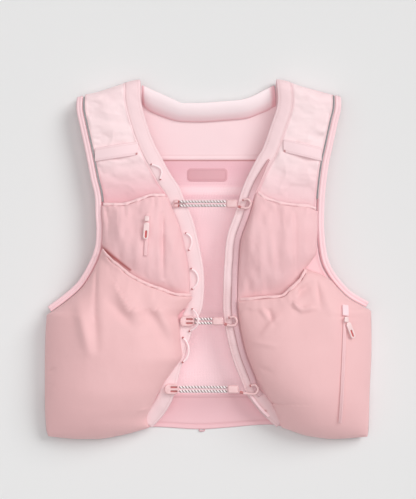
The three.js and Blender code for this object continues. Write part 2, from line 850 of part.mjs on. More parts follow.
// Back: yoke with shoulder wings
const backInset = armBandWidth + 3 * seamGap;
const shoulderIn = FRONT_EDGE.left[0].out * halfWidth; // the wings' edge at the neck
const neckShare = 0.66; // share of the yoke's inner edge that is neck, from the middle to a shoulder
const hemShare = 0.42; // share of its outer edge that is the seam with the mesh
const neckRows = NECK.map((row, k) => ({ ...row, k }));
function neckPoint(t, level, drop) {
  const k = t * (NECK.length - 1);
  const x = read(neckRows, "k", `${level}Out`, k) * halfWidth;
  return at(x, read(neckRows, "k", `${level}Up`, k) * halfLength - drop, 0);
}
function yokeInner(sign, wing) {
  const end = sign < 0 ? 0 : 1;
  const neck = neckPoint(lerp(0.5, end, Math.min(wing / neckShare, 1)), "low", seamGap);
  if (wing <= neckShare) return neck;
  const t = (wing - neckShare) / (1 - neckShare);
  return at(lerp(neck.x, sign * shoulderIn, t), lerp(neck.y, shoulderTop(shoulderIn), t), 0);
}
function yokeOuter(sign, wing) {
  const side = sign < 0 ? "left" : "right";
  const seam = yokeLine * halfLength + seamGap;
  if (wing <= hemShare) return at(sign * lerp(0, sideOut(side, seam, backInset, 0), wing / hemShare), seam, 0);
  const t = (wing - hemShare) / (1 - hemShare);
  const corner = besideArm(side, 0, backInset);
  const y = lerp(seam, corner.y, t);
  return at(sign * sideOut(side, y, backInset, 0), y, 0);
}
add(
  "back_yoke",
  sheet(
    (u, v) => {
      const sign = u < 0.5 ? -1 : 1;
      const wing = Math.abs(2 * u - 1);
      const p = yokeInner(sign, wing).lerp(yokeOuter(sign, wing), v);
      return onBack(p.x, p.y);
    },
    STEPS.yoke.across,
    STEPS.yoke.along,
    cloth,
  ),
  "woven",
);

// Back: mesh panel and hem band, with more rows of points near the curled sides
function backSheet(top, bottom, rows) {
  return sheet(
    (u, v) => {
      const y = lerp(top, bottom(lerp(-1, 1, u)), v);
      const s = -Math.cos(Math.PI * u);
      const side = s < 0 ? "left" : "right";
      return onBack(s * sideOut(side, y, backInset, 0), y);
    },
    STEPS.back.across,
    rows,
    cloth,
  );
}
const bandTop = backBandLine * halfLength;
add("back_panel", backSheet(yokeLine * halfLength, () => bandTop, STEPS.back.along), "mesh");
add(
  "lower_back_band",
  backSheet(
    bandTop - seamGap,
    (s) => read(BACK_HEM, "out", "up", -Math.cos((Math.PI * (s + 1)) / 2)) * halfLength,
    STEPS.hemBand.along,
  ),
  "satin",
);

// Collar band round the back neck, standing up from the yoke and rounded over
add(
  "neck_band",
  sheet(
    (u, v) => {
      const low = neckPoint(u, "low", 0);
      const high = neckPoint(u, "top", 0);
      const p = low.clone().lerp(high, v);
      const base = backHeight(low.x, low.y) + layer;
      const stand = (neckRise - layer) * Math.sin((Math.PI / 2) * v);
      return at(p.x, p.y, base + stand);
    },
    STEPS.neck.across,
    STEPS.neck.along,
    cloth,
  ),
  "tape",
);

// Label place on the back, left bare
const label = plate({ length: labelWidth, width: labelHeight, corner: labelCorner }, labelThick);
add("blank_label", label, "woven").position.set(
  labelOut * halfWidth,
  labelUp * halfLength,
  cloth + seamGap + labelThick / 2,
);

// Loop at the middle of the back hem
const hemMid = read(BACK_HEM, "out", "up", hemLoopOut) * halfLength;
const hemSeat = loopRadius - 2 * seamGap; // the loop's ends sit against the hem's straight stretches
add(
  "hem_loop",
  tube(
    [-1, -0.7, 0.7, 1].map((s, k) =>
      at(
        hemLoopOut * halfWidth + (s * hemLoopWidth) / 2,
        hemMid - hemSeat - (k === 1 || k === 2 ? hemLoopReach : 0),
        loopRadius,
      ),
    ),
    loopRadius,
    6,
    8,
  ),
  "rail",
);

// Front pieces of each side
for (const [side, sign] of Object.entries(SIDES)) {
  // Shoulder and front panel, which is the back wall of the pockets lower down
  const panelArm = armBandWidth + 2 * pipingRadius + 2 * seamGap;
  const panelTop = (x) => shoulderTop(Math.abs(x));
  const panelPoint = (u, v) => {
    const level = lerp(panelTopUp, panelFootUp, v) * halfLength;
    const fixed = smoothstep(v, 0, 0.3);
    const drop = v * (panelTopUp - panelFootUp) * halfLength;
    let y = level;
    let x = 0;
    for (let k = 0; k < 8; k += 1) {
      const inner = frontOut(side, y, bindingWidth + 2 * seamGap);
      const outer = sideOut(side, y, panelArm, layer + seamGap);
      x = sign * lerp(inner, outer, u);
      y = lerp(panelTop(x) - drop, level, fixed);
    }
    return onFront(x, y);
  };
  add(`front_panel_${side}`, sheet(panelPoint, STEPS.panel.across, STEPS.panel.along, cloth), "woven");

  // Binding along the front opening
  add(
    `front_binding_${side}`,
    sheet(
      (u, v) => {
        const p = besideFront(side, v, bindingWidth * u);
        return onFront(p.x, p.y);
      },
      STEPS.binding.across,
      STEPS.binding.along,
      cloth,
    ),
    "tape",
  );

  // Band round the armhole: down the front, round the underarm and up the back
  const frames = [];
  const armFrame = (t, height) => {
    const outer = besideArm(side, t, 0);
    const inner = besideArm(side, t, armBandWidth);
    outer.z = height(outer.x, outer.y);
    inner.z = height(inner.x, inner.y);
    return { outer, inner };
  };
  const backBandLift = (armBandThick - cloth) / 2;
  const places = [];
  for (let k = 0; k <= STEPS.arm.along; k += 1) places.push(armFrame(k / STEPS.arm.along, frontHeight));
  for (let k = STEPS.arm.along; k > 0; k -= 1) {
    places.push(armFrame(k / STEPS.arm.along, (x, y) => backHeight(x, y) + backBandLift));
  }
  places.forEach(({ outer, inner }, k) => {
    const before = places[(k + places.length - 1) % places.length];
    const after = places[(k + 1) % places.length];
    const along = after.outer.clone().sub(before.outer).normalize();
    const across = inner.clone().sub(outer).normalize();
    frames.push({ centre: outer.clone().lerp(inner, 0.5), across, up: along.cross(across).normalize() });
  });
  const half = armBandWidth / 2;
  const thick = armBandThick / 2;
  const bandSection = () => [
    [-half, -thick * 0.4],
    [-half * 0.8, -thick],
    [half, -thick],
    [half, thick],
    [-half * 0.8, thick],
    [-half, thick * 0.4],
  ];
  add(`arm_binding_${side}`, sweep(frames, bandSection, true), "tape");

  // Piping between the band and the panel
  const pipe = [];
  for (let k = 0; k <= 12; k += 1) {
    const p = besideArm(side, pipingStart + (pipingLength * k) / 12, armBandWidth + seamGap + pipingRadius);
    pipe.push(onFront(p.x, p.y, pipingRise));
  }
  add(`piping_${side}`, tube(pipe, pipingRadius, 6, STEPS.piping.along), "piping");

  // Keeper strap across the shoulder panel
  const keeper = KEEPER[side];
  add(
    `keeper_strap_${side}`,
    sheet(
      (u, v) => {
        const out = lerp(keeper.out, keeper.toOut, u) * halfWidth;
        const y = lerp(keeper.up, keeper.toUp, u) * halfLength + (0.5 - v) * keeperWidth;
        const lift = layer + keeperLift * Math.sin(Math.PI * u);
        return onFront(sign * out, y, lift);
      },
      8,
      2,
      keeperThick,
    ),
    "woven",
  );

  // Chest pocket, open along its rim
  const chestPoint = (u, v) => {
    const s = (1 - Math.cos(Math.PI * u)) / 2;
    const y = lerp(chestRim(side, s), chestFootY, v);
    const x = sign * lerp(chestIn(side, y), chestOut(side, y), s);
    const full = read(CHEST_FULL, "along", "puff", v);
    return onFront(x, y, layer + round(s) * full * (chestPuff + foldsAt(side, x, y)));
  };
  add(`chest_pocket_${side}`, sheet(chestPoint, STEPS.chest.across, STEPS.chest.along, cloth), "mesh");

  // Lower pocket, open along its scooped rim
  const lowerPoint = (u, v) => {
    const s = (1 - Math.cos(Math.PI * u)) / 2;
    const along = Math.sin((Math.PI / 2) * v);
    const y = lerp(lowerRim(side, s), lowerHem(side, s), along);
    const x = sign * lerp(lowerIn(side, y), lowerOut(side, y), s);
    return onFront(x, y, lowerLift(side, s, along, x, y));
  };
  add(`lower_pocket_${side}`, sheet(lowerPoint, STEPS.lower.across, STEPS.lower.along, cloth), "satin");

  // Puckered elastic rims, just past the pockets' edges
  for (const [name, point, columns] of [
    ["chest", chestPoint, STEPS.chest.across],
    ["lower", lowerPoint, STEPS.lower.across],
  ]) {
    const onEdge = (u, v) => {
      const k = Math.min(Math.floor(u * columns), columns - 1);
      return point(k / columns, v).lerp(point((k + 1) / columns, v), u * columns - k);
    };
    const rimFrames = [];
    const rimSteps = (columns - 2) * STEPS.rim.perColumn;
    for (let k = 0; k <= rimSteps; k += 1) {
      const u = (1 + k / STEPS.rim.perColumn) / columns;
      const edge = onEdge(u, 0);
      const down = edge.clone().sub(onEdge(u, 0.02)).normalize();
      const along = onEdge(u + 0.02, 0).sub(onEdge(u - 0.02, 0)).normalize();
      const up = along.clone().cross(down).normalize();
      const wave = k % STEPS.rim.perColumn ? rimPucker : 0;
      const centre = edge.addScaledVector(down, rimRadius + seamGap).addScaledVector(up, wave);
      rimFrames.push({ centre, across: down, up });
    }
    add(`${name}_rim_${side}`, sweep(rimFrames, () => ringOf(rimRadius, 5)), "tape");
  }
}

// Height of a pocket's middle at a place, over the front cloth
function lowerTop(x, y) {
  const side = x < 0 ? "left" : "right";
  const s = (Math.abs(x) - lowerIn(side, y)) / (lowerOut(side, y) - lowerIn(side, y));
  const along = (lowerRim(side, s) - y) / (lowerRim(side, s) - lowerHem(side, s));
  return onFront(x, y, lowerLift(side, s, clamp(along, 0, 1), x, y));
}
function chestTop(x, y) {
  return onFront(x, y, chestLift(x, y));
}

// The highest that the front cloth reaches under a rectangle
function highestUnder(x, y, length, width) {
  let top = 0;
  for (const a of [-0.5, 0, 0.5]) {
    for (const b of [-0.5, 0, 0.5]) top = Math.max(top, frontHeight(x + a * length, y + b * width));
  }
  return top;
}

// Rail along the right front edge, which the hooks hold
function stripFrames(from, to, steps, inset, lift) {
  const frames = [];
  for (let k = 0; k <= steps; k += 1) {
    const t = lerp(from, to, k / steps);
    const p = besideFront("right", t, inset);
    const edge = besideFront("right", t, inset - 1);
    const across = p.clone().sub(edge).normalize();
    frames.push({ centre: onFront(p.x, p.y, lift), across, up: at(0, 0, 1) });
  }
  return frames;
}
function roundedBar(width, thick) {
  const [w, t] = [width / 2, thick / 2];
  const slope = Math.min(w, t) * 0.6;
  return [
    [-w, -t],
    [w, -t],
    [w, t - slope],
    [w - slope, t],
    [-w + slope, t],
    [-w, t - slope],
  ];
}
const railLift = (cloth + railThick) / 2 + seamGap;
const rail = stripFrames(RAIL.from, RAIL.to, STEPS.rail.along, railInset, railLift);
add("hook_rail", sweep(rail, () => roundedBar(railWidth, railThick)), "rail");
const endLift = (cloth + endLoopThick) / 2 + seamGap;
const endFrames = stripFrames(END_LOOP.from, END_LOOP.to, STEPS.endLoop.along, endLoopInset, endLift);
endFrames.forEach(({ centre }, k) => {
  centre.z += endLoopThick * Math.sin((Math.PI * k) / STEPS.endLoop.along);
});
add("rail_end_loop", sweep(endFrames, () => roundedBar(endLoopWidth, endLoopThick)), "tape");

// Cord loops along the left front edge
EDGE_LOOPS.forEach((loop, n) => {
  const points = [];
  for (let k = 0; k <= 6; k += 1) {
    const t = k / 6;
    const swell = Math.sin(Math.PI * t) ** 0.7;
    const out = lerp(lerp(loop.out, loop.toOut, t), loop.bulge, swell);
    const y = lerp(loop.up, loop.toUp, t) * halfLength;
    const x = -out * halfWidth;
    points.push(onFront(x, y, cloth / 2 + seamGap + loopRadius + loop.hump * Math.sin(Math.PI * t)));
  }
  add(`edge_loop_${n + 1}`, tube(points, loopRadius, 5, 10), "tape");
});

// Closures: a clip or two sockets, two bungee strands, a sleeve and a hook over the rail
for (const [name, { up, from, sleeve, end }] of Object.entries(CLOSURES)) {
  const y = up * halfLength;
  const start = from * halfWidth;
  const endLength = end === "clip" ? clipLength : socketLength;
  const endThick = end === "clip" ? clipThick : 2 * socketRadius;
  const middle = start + endLength / 2;
  const base = highestUnder(middle, y, endLength, clipWidth) + cloth / 2 + seamGap;
  const leftHeight = base + endThick / 2;
  if (end === "clip") {
    const holes = [-1, 1].map((row) => ({
      x: clipLength / 2 - slotLength / 2 - slotWidth,
      y: (row * strandPitch) / 2,
      length: slotLength,
      width: slotWidth,
      corner: slotWidth / 2.1,
    }));
    const outline = { length: clipLength, width: clipWidth, corner: clipWidth / 2.3 };
    add(`${name}_clip`, plate(outline, clipThick, holes), "plastic").position.set(middle, y, leftHeight);
  }
  const sleeveStart = sleeve * halfWidth;
  const sleeveEnd = sleeveStart + sleeveLength;
  const inner = frontOut("right", y, railInset);
  const overRail = highestUnder(inner, y, railWidth + hookTip, hookBarPitch + hookWire) + railLift + railThick / 2;
  const hookHeight = overRail + seamGap + hookWire / 2;
  const sleeveHeight = hookHeight - 1;
  [1, -1].forEach((row, n) => {
    const line = y + (row * strandPitch) / 2;
    if (end === "socket") {
      const piece = tube(
        [at(start, line, leftHeight), at(start + socketLength, line, leftHeight)],
        socketRadius,
        8,
        1,
      );
      add(`${name}_socket_${n + 1}`, piece, "plastic");
    }
    const strand = [];
    for (let k = 0; k <= 4; k += 1) {
      const x = lerp(start + endLength + seamGap, sleeveStart - seamGap, k / 4);
      const sag = strandSag * Math.sin((Math.PI * k) / 4);
      strand.push(at(x, line, lerp(leftHeight, sleeveHeight, k / 4) - sag));
    }
    add(`${name}_strand_${n + 1}`, tube(strand, strandRadius, 8, 5), "braid");
  });
  const outline = { length: sleeveLength, width: sleeveWidth, corner: 1.6 };
  const sleevePiece = add(`${name}_sleeve`, plate(outline, sleeveThick), "plastic");
  sleevePiece.position.set(sleeveStart + sleeveLength / 2, y, sleeveHeight);
  const bar = hookBarPitch / 2;
  const bend = inner + hookWire / 2;
  const hook = [
    at(sleeveEnd + seamGap, y - bar * 0.6, sleeveHeight),
    at(lerp(sleeveEnd, bend, 0.35), y - bar, lerp(sleeveHeight, hookHeight, 0.8)),
    at(bend - bar * 0.6, y - bar, hookHeight),
    at(bend, y, hookHeight),
    at(bend - bar * 0.6, y + bar, hookHeight),
    at(inner - hookTip * 0.6, y + bar, hookHeight - 0.4),
    at(inner - hookTip, y + bar * 0.8, hookHeight - 1.2),
  ];
  add(`${name}_hook`, tube(hook, hookWire / 2, 6, 14), "plastic");
}

// Zips on the pockets: a coil strip, and a slider and pull that lie on the cloth
function zipStrip(zip, sign, top) {
  return sheet(
    (u, v) => {
      const x = sign * lerp(zip.out, zip.toOut, v) * halfWidth + (u - 0.5) * zipWidth;
      const p = top(x, lerp(zip.up, zip.toUp, v) * halfLength);
      p.z += (cloth + zipThick) / 2 + zipGap;
      return p;
    },
    1,
    STEPS.zip.along,
    zipThick,
  );
}
function layOn(mesh, top, x, y, turn, lift) {
  const reach = 4;
  const east = top(x + reach, y).sub(top(x - reach, y)).normalize();
  const north = top(x, y + reach).sub(top(x, y - reach)).normalize();
  const up = east.clone().cross(north).normalize();
  const along = north.clone().applyAxisAngle(up, turn);
  const across = along.clone().cross(up).normalize();
  mesh.quaternion.setFromRotationMatrix(new THREE.Matrix4().makeBasis(across, along, up));
  mesh.position.copy(top(x, y).addScaledVector(up, lift));
}
add("chest_zip", zipStrip(CHEST_ZIP, -1, chestTop), "tape");
add("side_zip", zipStrip(SIDE_ZIP, 1, lowerTop), "tape");
for (const [name, place, sign, top] of [
  ["chest", CHEST_PULL, -1, chestTop],
  ["side", SIDE_PULL, 1, lowerTop],
]) {
  const x = sign * place.out * halfWidth;
  const y = place.up * halfLength;
  const onTape = cloth / 2 + 2 * zipGap + zipThick;
  const slider = plate({ length: sliderWidth, width: sliderLength, corner: 1.4 }, sliderThick);
  layOn(add(`${name}_zip_slider`, slider, "plastic"), top, x, y, 0, onTape + sliderThick / 2);
  const slot = { y: -pullLength / 5, length: pullSlotWidth, width: pullSlotLength, corner: pullSlotWidth / 2.1 };
  const pull = plate({ length: pullWidth, width: pullLength, corner: pullWidth / 2.2 }, pullThick, [slot]);
  const reach = (sliderLength + pullLength) / 2 + seamGap;
  const pullX = x + reach * Math.sin(place.turn);
  layOn(
    add(`${name}_zip_pull`, pull, "plastic"),
    top,
    pullX,
    y - reach * Math.cos(place.turn),
    place.turn,
    onTape + pullThick / 2,
  );
}
const garage = plate({ length: garageWidth, width: garageLength, corner: 1.2 }, cloth);
const garageLift = cloth + seamGap;
layOn(add("side_zip_garage", garage, "tape"), lowerTop, GARAGE.out * halfWidth, GARAGE.up * halfLength, 0, garageLift);

// The vest lies on its origin: the middle of its box, at the ground
const box = new THREE.Box3().setFromObject(vest, true);
const centre = box.getCenter(new THREE.Vector3());
vest.position.set(-centre.x, -centre.y, -box.min.z);

export default vest;
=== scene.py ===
"""Looks of a running vest that lies flat on its back: cloth, trim, cords, zips and the studio around it."""
from __future__ import annotations

import logging
import math
from dataclasses import dataclass, field, replace
from enum import Enum
from typing import Callable, Iterable, Sequence

import bpy
import numpy as np
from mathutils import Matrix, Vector


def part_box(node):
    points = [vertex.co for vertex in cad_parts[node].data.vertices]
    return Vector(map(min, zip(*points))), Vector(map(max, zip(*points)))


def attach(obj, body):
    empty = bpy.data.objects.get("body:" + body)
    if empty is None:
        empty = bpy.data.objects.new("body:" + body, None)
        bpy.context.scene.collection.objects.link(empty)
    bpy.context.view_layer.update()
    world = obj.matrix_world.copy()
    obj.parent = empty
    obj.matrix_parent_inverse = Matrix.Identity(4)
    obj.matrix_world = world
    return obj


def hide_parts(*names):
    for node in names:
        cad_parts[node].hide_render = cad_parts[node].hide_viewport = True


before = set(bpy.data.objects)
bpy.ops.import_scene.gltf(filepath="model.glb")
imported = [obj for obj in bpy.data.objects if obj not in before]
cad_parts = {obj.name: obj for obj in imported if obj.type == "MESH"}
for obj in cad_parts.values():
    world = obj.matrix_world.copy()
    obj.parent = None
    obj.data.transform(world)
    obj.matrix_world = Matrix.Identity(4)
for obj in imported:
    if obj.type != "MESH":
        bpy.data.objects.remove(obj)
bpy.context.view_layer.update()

log = logging.getLogger("vest")
MM = 0.001
TINY = 1e-9
Grid = np.ndarray
Colour = tuple[float, float, float]


class Side(Enum):
    """The two fronts of the vest, as seen from above."""

    LEFT = "left"
    RIGHT = "right"

    @property
    def sign(self) -> int:
        """Sign of the side's x."""
        return -1 if self is Side.LEFT else 1


# Plan tables: shares of half the width (out) and half the length (up)
ARMHOLE = {
    Side.LEFT: ((0.805, 0.895), (0.806, 0.83), (0.788, 0.748), (0.75, 0.592), (0.717, 0.441), (0.693, 0.347),
                (0.689, 0.246), (0.684, 0.162), (0.696, 0.051), (0.791, -0.117), (0.873, -0.189),
                (0.985, -0.264)),
    Side.RIGHT: ((0.815, 0.9), (0.812, 0.83), (0.792, 0.754), (0.757, 0.609), (0.737, 0.525), (0.718, 0.393),
                 (0.71, 0.296), (0.709, 0.162), (0.733, 0.0), (0.773, -0.075), (0.826, -0.136),
                 (0.882, -0.184), (0.985, -0.238)),
}
FRONT_EDGE = {
    Side.LEFT: ((0.421, 0.996), (0.412, 0.863), (0.342, 0.659), (0.293, 0.571), (0.23, 0.466), (0.183, 0.403),
                (0.149, 0.329), (0.095, 0.211), (0.057, 0.069), (0.033, -0.05), (0.029, -0.172),
                (0.043, -0.279), (0.09, -0.37), (0.12, -0.45), (0.14, -0.52), (0.168, -0.6), (0.192, -0.68),
                (0.214, -0.76), (0.266, -0.85), (0.345, -0.935)),
    Side.RIGHT: ((0.42, 0.999), (0.427, 0.863), (0.383, 0.735), (0.333, 0.609), (0.297, 0.553),
                 (0.211, 0.391), (0.171, 0.268), (0.117, 0.126), (0.102, -0.005), (0.094, -0.167),
                 (0.094, -0.295), (0.113, -0.41), (0.151, -0.55), (0.198, -0.66), (0.236, -0.745),
                 (0.275, -0.795), (0.319, -0.845), (0.42, -0.932)),
}
# Rows of (up, out)
SIDE_FOLD = {
    Side.LEFT: ((-0.264, 0.985), (-0.42, 0.996), (-0.59, 1), (-0.79, 1), (-0.948, 0.992), (-1, 0.975)),
    Side.RIGHT: ((-0.238, 0.985), (-0.3, 0.997), (-0.475, 1), (-0.757, 0.988), (-0.948, 0.982), (-1, 0.975)),
}
# Rows of (out, up)
SHOULDER_FOLD = ((0.36, 0.999), (0.42, 0.998), (0.487, 0.987), (0.54, 0.969), (0.62, 0.945), (0.69, 0.925),
                 (0.77, 0.911), (0.84, 0.893))
# Rows of (up, at the front edge, half way, at the arm): shares of the front's rise
RISE = ((1, 0.78, 0.86, 0.76), (0.6, 0.86, 0.96, 0.84), (0.3, 1.0, 1.0, 0.9), (0, 1.05, 0.98, 0.92),
        (-0.2, 1.05, 0.94, 0.66), (-0.3, 1.05, 0.9, 0.47), (-0.7, 0.95, 0.8, 0.45), (-0.9, 0.6, 0.5, 0.42),
        (-1, 0.3, 0.3, 0.36))
# Rows of (up, share of the side curl)
CURL = ((1, 0.12), (0.2, 0.12), (-0.05, 0.3), (-0.2, 0.75), (-0.3, 1), (-0.9, 1), (-1, 0.75))
# Rows of the collar: (outer edge out, up, lower edge out, up)
NECK = ((-0.405, 0.965, -0.405, 0.868), (-0.373, 0.952, -0.367, 0.834), (-0.307, 0.925, -0.292, 0.803),
        (-0.229, 0.893, -0.244, 0.787), (-0.15, 0.866, -0.166, 0.771), (-0.05, 0.867, -0.05, 0.768),
        (0.09, 0.876, 0.09, 0.776), (0.196, 0.884, 0.196, 0.784), (0.243, 0.895, 0.243, 0.79),
        (0.294, 0.914, 0.314, 0.814), (0.337, 0.935, 0.36, 0.831), (0.405, 0.965, 0.415, 0.86))
# Rows of (out, up)
BACK_HEM = ((-1, -0.985), (-0.6, -0.965), (-0.34, -0.938), (-0.05, -0.951), (0.1, -0.943), (0.38, -0.925),
            (0.6, -0.96), (1, -0.985))
# Rows of (up, out)
CHEST_SIDE = {
    Side.LEFT: ((0.4, 0.645), (0.29, 0.648), (0.23, 0.655), (0.05, 0.64), (-0.1, 0.58), (-0.28, 0.47)),
    Side.RIGHT: ((0.4, 0.67), (0.26, 0.668), (0.14, 0.663), (0.04, 0.655), (-0.05, 0.594), (-0.11, 0.572),
                 (-0.28, 0.5)),
}
# Rows of (share from rim to foot, fullness)
FULLNESS = {
    "chest": ((0, 0.34), (0.08, 0.52), (0.25, 0.85), (0.45, 1), (0.65, 0.8), (0.85, 0.34), (1, 0)),
    "lower": ((0, 0.5), (0.05, 0.58), (0.15, 0.76), (0.3, 0.93), (0.5, 1), (0.68, 0.97), (0.8, 0.87),
              (0.89, 0.7), (0.95, 0.5), (0.985, 0.28), (1, 0)),
}
# Rows of (share across, up)
LEVELS = {
    "chest_rim": {
        Side.LEFT: ((0, 0.342), (0.2, 0.342), (0.42, 0.32), (0.72, 0.291), (1, 0.291)),
        Side.RIGHT: ((0, 0.361), (0.22, 0.319), (0.58, 0.29), (0.85, 0.282), (1, 0.262)),
    },
    "lower_rim": {
        Side.LEFT: ((0, -0.21), (0.137, -0.204), (0.262, -0.176), (0.382, -0.153), (0.584, -0.101),
                    (0.751, -0.044), (0.858, -0.011), (1, 0.05)),
        Side.RIGHT: ((0, -0.234), (0.255, -0.22), (0.392, -0.212), (0.51, -0.173), (0.8, -0.087),
                     (1, -0.059)),
    },
    "lower_hem": {
        Side.LEFT: ((0, -0.937), (0.28, -0.98), (0.52, -1), (0.7, -1), (1, -0.985)),
        Side.RIGHT: ((0, -0.935), (0.3, -0.984), (0.6, -1), (1, -0.987)),
    },
}
# Rows of (up, out)
LOWER_FRONT = {
    Side.LEFT: ((0.1, 0.15), (-0.05, 0.122), (-0.21, 0.102), (-0.26, 0.14), (-0.318, 0.187), (-0.38, 0.178),
                (-0.455, 0.172), (-0.535, 0.164), (-0.602, 0.209), (-0.678, 0.269), (-0.82, 0.351),
                (-0.887, 0.381), (-0.95, 0.366), (-1, 0.37)),
    Side.RIGHT: ((0.1, 0.19), (-0.228, 0.188), (-0.31, 0.19), (-0.4, 0.197), (-0.558, 0.243),
                 (-0.686, 0.313), (-0.8, 0.391), (-0.935, 0.454), (-1, 0.47)),
}
LOWER_SHOULDER = {
    Side.LEFT: ((0.2, 0.7), (-0.3, 1.1)),
    Side.RIGHT: ((-0.04, 0.56), (-0.059, 0.604), (-0.087, 0.69), (-0.123, 0.755), (-0.195, 0.85),
                 (-0.225, 0.885), (-0.25, 0.922), (-0.275, 0.965), (-0.29, 1.1)),
}
# Soft folds of the pockets: (out, up, to out, to up, depth, spread)
FOLDS = {
    Side.LEFT: ((0.27, 0.26, 0.28, -0.02, -3.2, 7), (0.5, 0.24, 0.47, 0.02, 2, 14),
                (0.68, -0.12, 0.74, -0.5, 3, 16), (0.5, -0.14, 0.44, -0.4, 3, 12),
                (0.33, -0.22, 0.25, -0.45, 2.6, 11), (0.4, -0.2, 0.36, -0.42, -2.4, 8)),
    Side.RIGHT: ((0.42, 0.24, 0.4, -0.14, -2.2, 9), (0.545, 0.24, 0.54, -0.14, -2.8, 7),
                 (0.48, 0.2, 0.47, -0.1, 2, 10), (0.55, -0.14, 0.4, -0.42, 3.2, 12),
                 (0.38, -0.27, 0.3, -0.38, -2, 9), (0.66, -0.12, 0.8, -0.45, 2.4, 15)),
}

# Creases drawn on the pockets' walls, in the same columns
CREASES = {
    Side.LEFT: ((0.789, -0.24, 0.721, -0.5, 2.6, 6), (0.69, -0.22, 0.672, -0.48, -2.2, 6),
                (0.555, -0.145, 0.407, -0.323, 2.6, 6), (0.592, -0.228, 0.45, -0.37, -2.0, 6),
                (0.358, -0.2, 0.198, -0.424, 2.4, 6), (0.37, -0.256, 0.247, -0.48, -1.8, 7),
                (0.678, -0.02, 0.684, -0.33, -1.3, 2.2), (0.42, -0.836, 0.346, -0.814, 1.0, 1.8),
                (0.986, -0.63, 0.93, -0.608, -1.0, 2), (0.986, -0.7, 0.94, -0.69, -0.8, 2),
                (0.278, 0.25, 0.275, -0.1, -2.4, 3), (0.42, 0.2, 0.4, -0.05, 1.2, 6)),
    Side.RIGHT: ((0.479, -0.217, 0.565, -0.278, 3.4, 3), (0.565, -0.278, 0.639, -0.262, 3.4, 3),
                 (0.516, -0.2, 0.614, -0.145, -3.6, 6), (0.657, -0.117, 0.676, -0.262, -2.0, 2.6),
                 (0.7, -0.128, 0.737, -0.295, 1.8, 5), (0.306, -0.256, 0.362, -0.323, 2.0, 3),
                 (0.423, -0.312, 0.337, -0.401, 2.0, 3), (0.368, -0.273, 0.393, -0.351, -1.8, 3),
                 (0.257, -0.451, 0.411, -0.474, 1.0, 3), (0.3, -0.591, 0.38, -0.619, -0.9, 3),
                 (0.842, -0.25, 0.98, -0.272, -1.8, 4), (0.713, -0.312, 0.983, -0.329, -0.6, 1.6),
                 (0.528, 0.27, 0.53, -0.12, -1.7, 3), (0.36, 0.15, 0.41, -0.1, 1.4, 5)),
}


def ease(t: Grid, low: float = 0.0, high: float = 1.0) -> Grid:
    """A smooth step from 0 at low to 1 at high."""
    s = np.clip((np.asarray(t, float) - low) / (high - low), 0, 1)
    return s * s * (3 - 2 * s)


def between(a: Grid, b: Grid, t: Grid) -> Grid:
    """The value a share of the way from a to b."""
    return a + (b - a) * t


def bell(t: Grid, middle: float, spread: float, power: int = 2) -> Grid:
    """A bump of height 1 about a place."""
    return np.exp(-((t - middle) / spread) ** power)


def lines(t: Grid, rows: Sequence[Sequence[float]]) -> Grid:
    """The sum of bumps over a share: rows of (place, spread, strength)."""
    return sum(strength * bell(t, place, spread) for place, spread, strength in rows)


def unit(rows: Grid) -> Grid:
    """Rows scaled to length 1."""
    return rows / np.maximum(np.linalg.norm(rows, axis=-1, keepdims=True), TINY)


def upward(rows: Grid) -> Grid:
    """Rows scaled to length 1 and turned so that each points up."""
    rows = unit(rows)
    return rows * np.sign(rows[:, 2:] + TINY)


def risen(plan: Grid, z: Grid) -> Grid:
    """Plan points with their heights."""
    return np.concatenate([plan, np.asarray(z)[..., None]], -1)


def off_line(x: Grid, y: Grid, start: Sequence[float], end: Sequence[float]) -> tuple[Grid, Grid]:
    """Distance of plan places from the line between two points, and the share along it."""
    line = np.subtract(end, start)
    dx, dy = x - start[0], y - start[1]
    t = np.clip((dx * line[0] + dy * line[1]) / (line @ line), 0, 1)
    return np.hypot(dx - t * line[0], dy - t * line[1]), t


def dome(s: Grid) -> Grid:
    """Half round across a share from 0 to 1."""
    return np.sqrt(np.maximum(0, 1 - (2 * np.asarray(s, float) - 1) ** 2))


class Profile:
    """A smooth curve through the rows of a table, which never swings past them."""

    def __init__(self, keys: Sequence[float], values: Sequence[float]) -> None:
        """Keeps the rows in rising order with the slope at each.

        Args:
            keys: where the rows stand.
            values: what they hold.
        """
        order = np.argsort(keys)
        self.keys = np.asarray(keys, float)[order]
        self.values = np.asarray(values, float)[order]
        steps = np.diff(self.values) / np.diff(self.keys)
        before, after = steps[:-1], steps[1:]
        same = before * after > 0
        safe = np.where(same, before + after, 1)
        inner = np.where(same, 2 * before * after / safe, 0)
        self.slopes = np.concatenate([steps[:1], inner, steps[-1:]])

    def __call__(self, at: Grid) -> Grid:
        """The value at places, held at the ends."""
        x = np.clip(np.asarray(at, float), self.keys[0], self.keys[-1])
        i = np.clip(np.searchsorted(self.keys, x, side="left") - 1, 0, len(self.keys) - 2)
        span = self.keys[i + 1] - self.keys[i]
        t = (x - self.keys[i]) / span
        return (self.values[i] * (1 + 2 * t) * (1 - t) ** 2 + self.slopes[i] * span * t * (1 - t) ** 2
                + self.values[i + 1] * t * t * (3 - 2 * t) + self.slopes[i + 1] * span * t * t * (t - 1))


def profile(rows: Sequence[Sequence[float]], column: int = 1, key: int = 0) -> Profile:
    """A profile of one column of a table over another."""
    return Profile([r[key] for r in rows], [r[column] for r in rows])


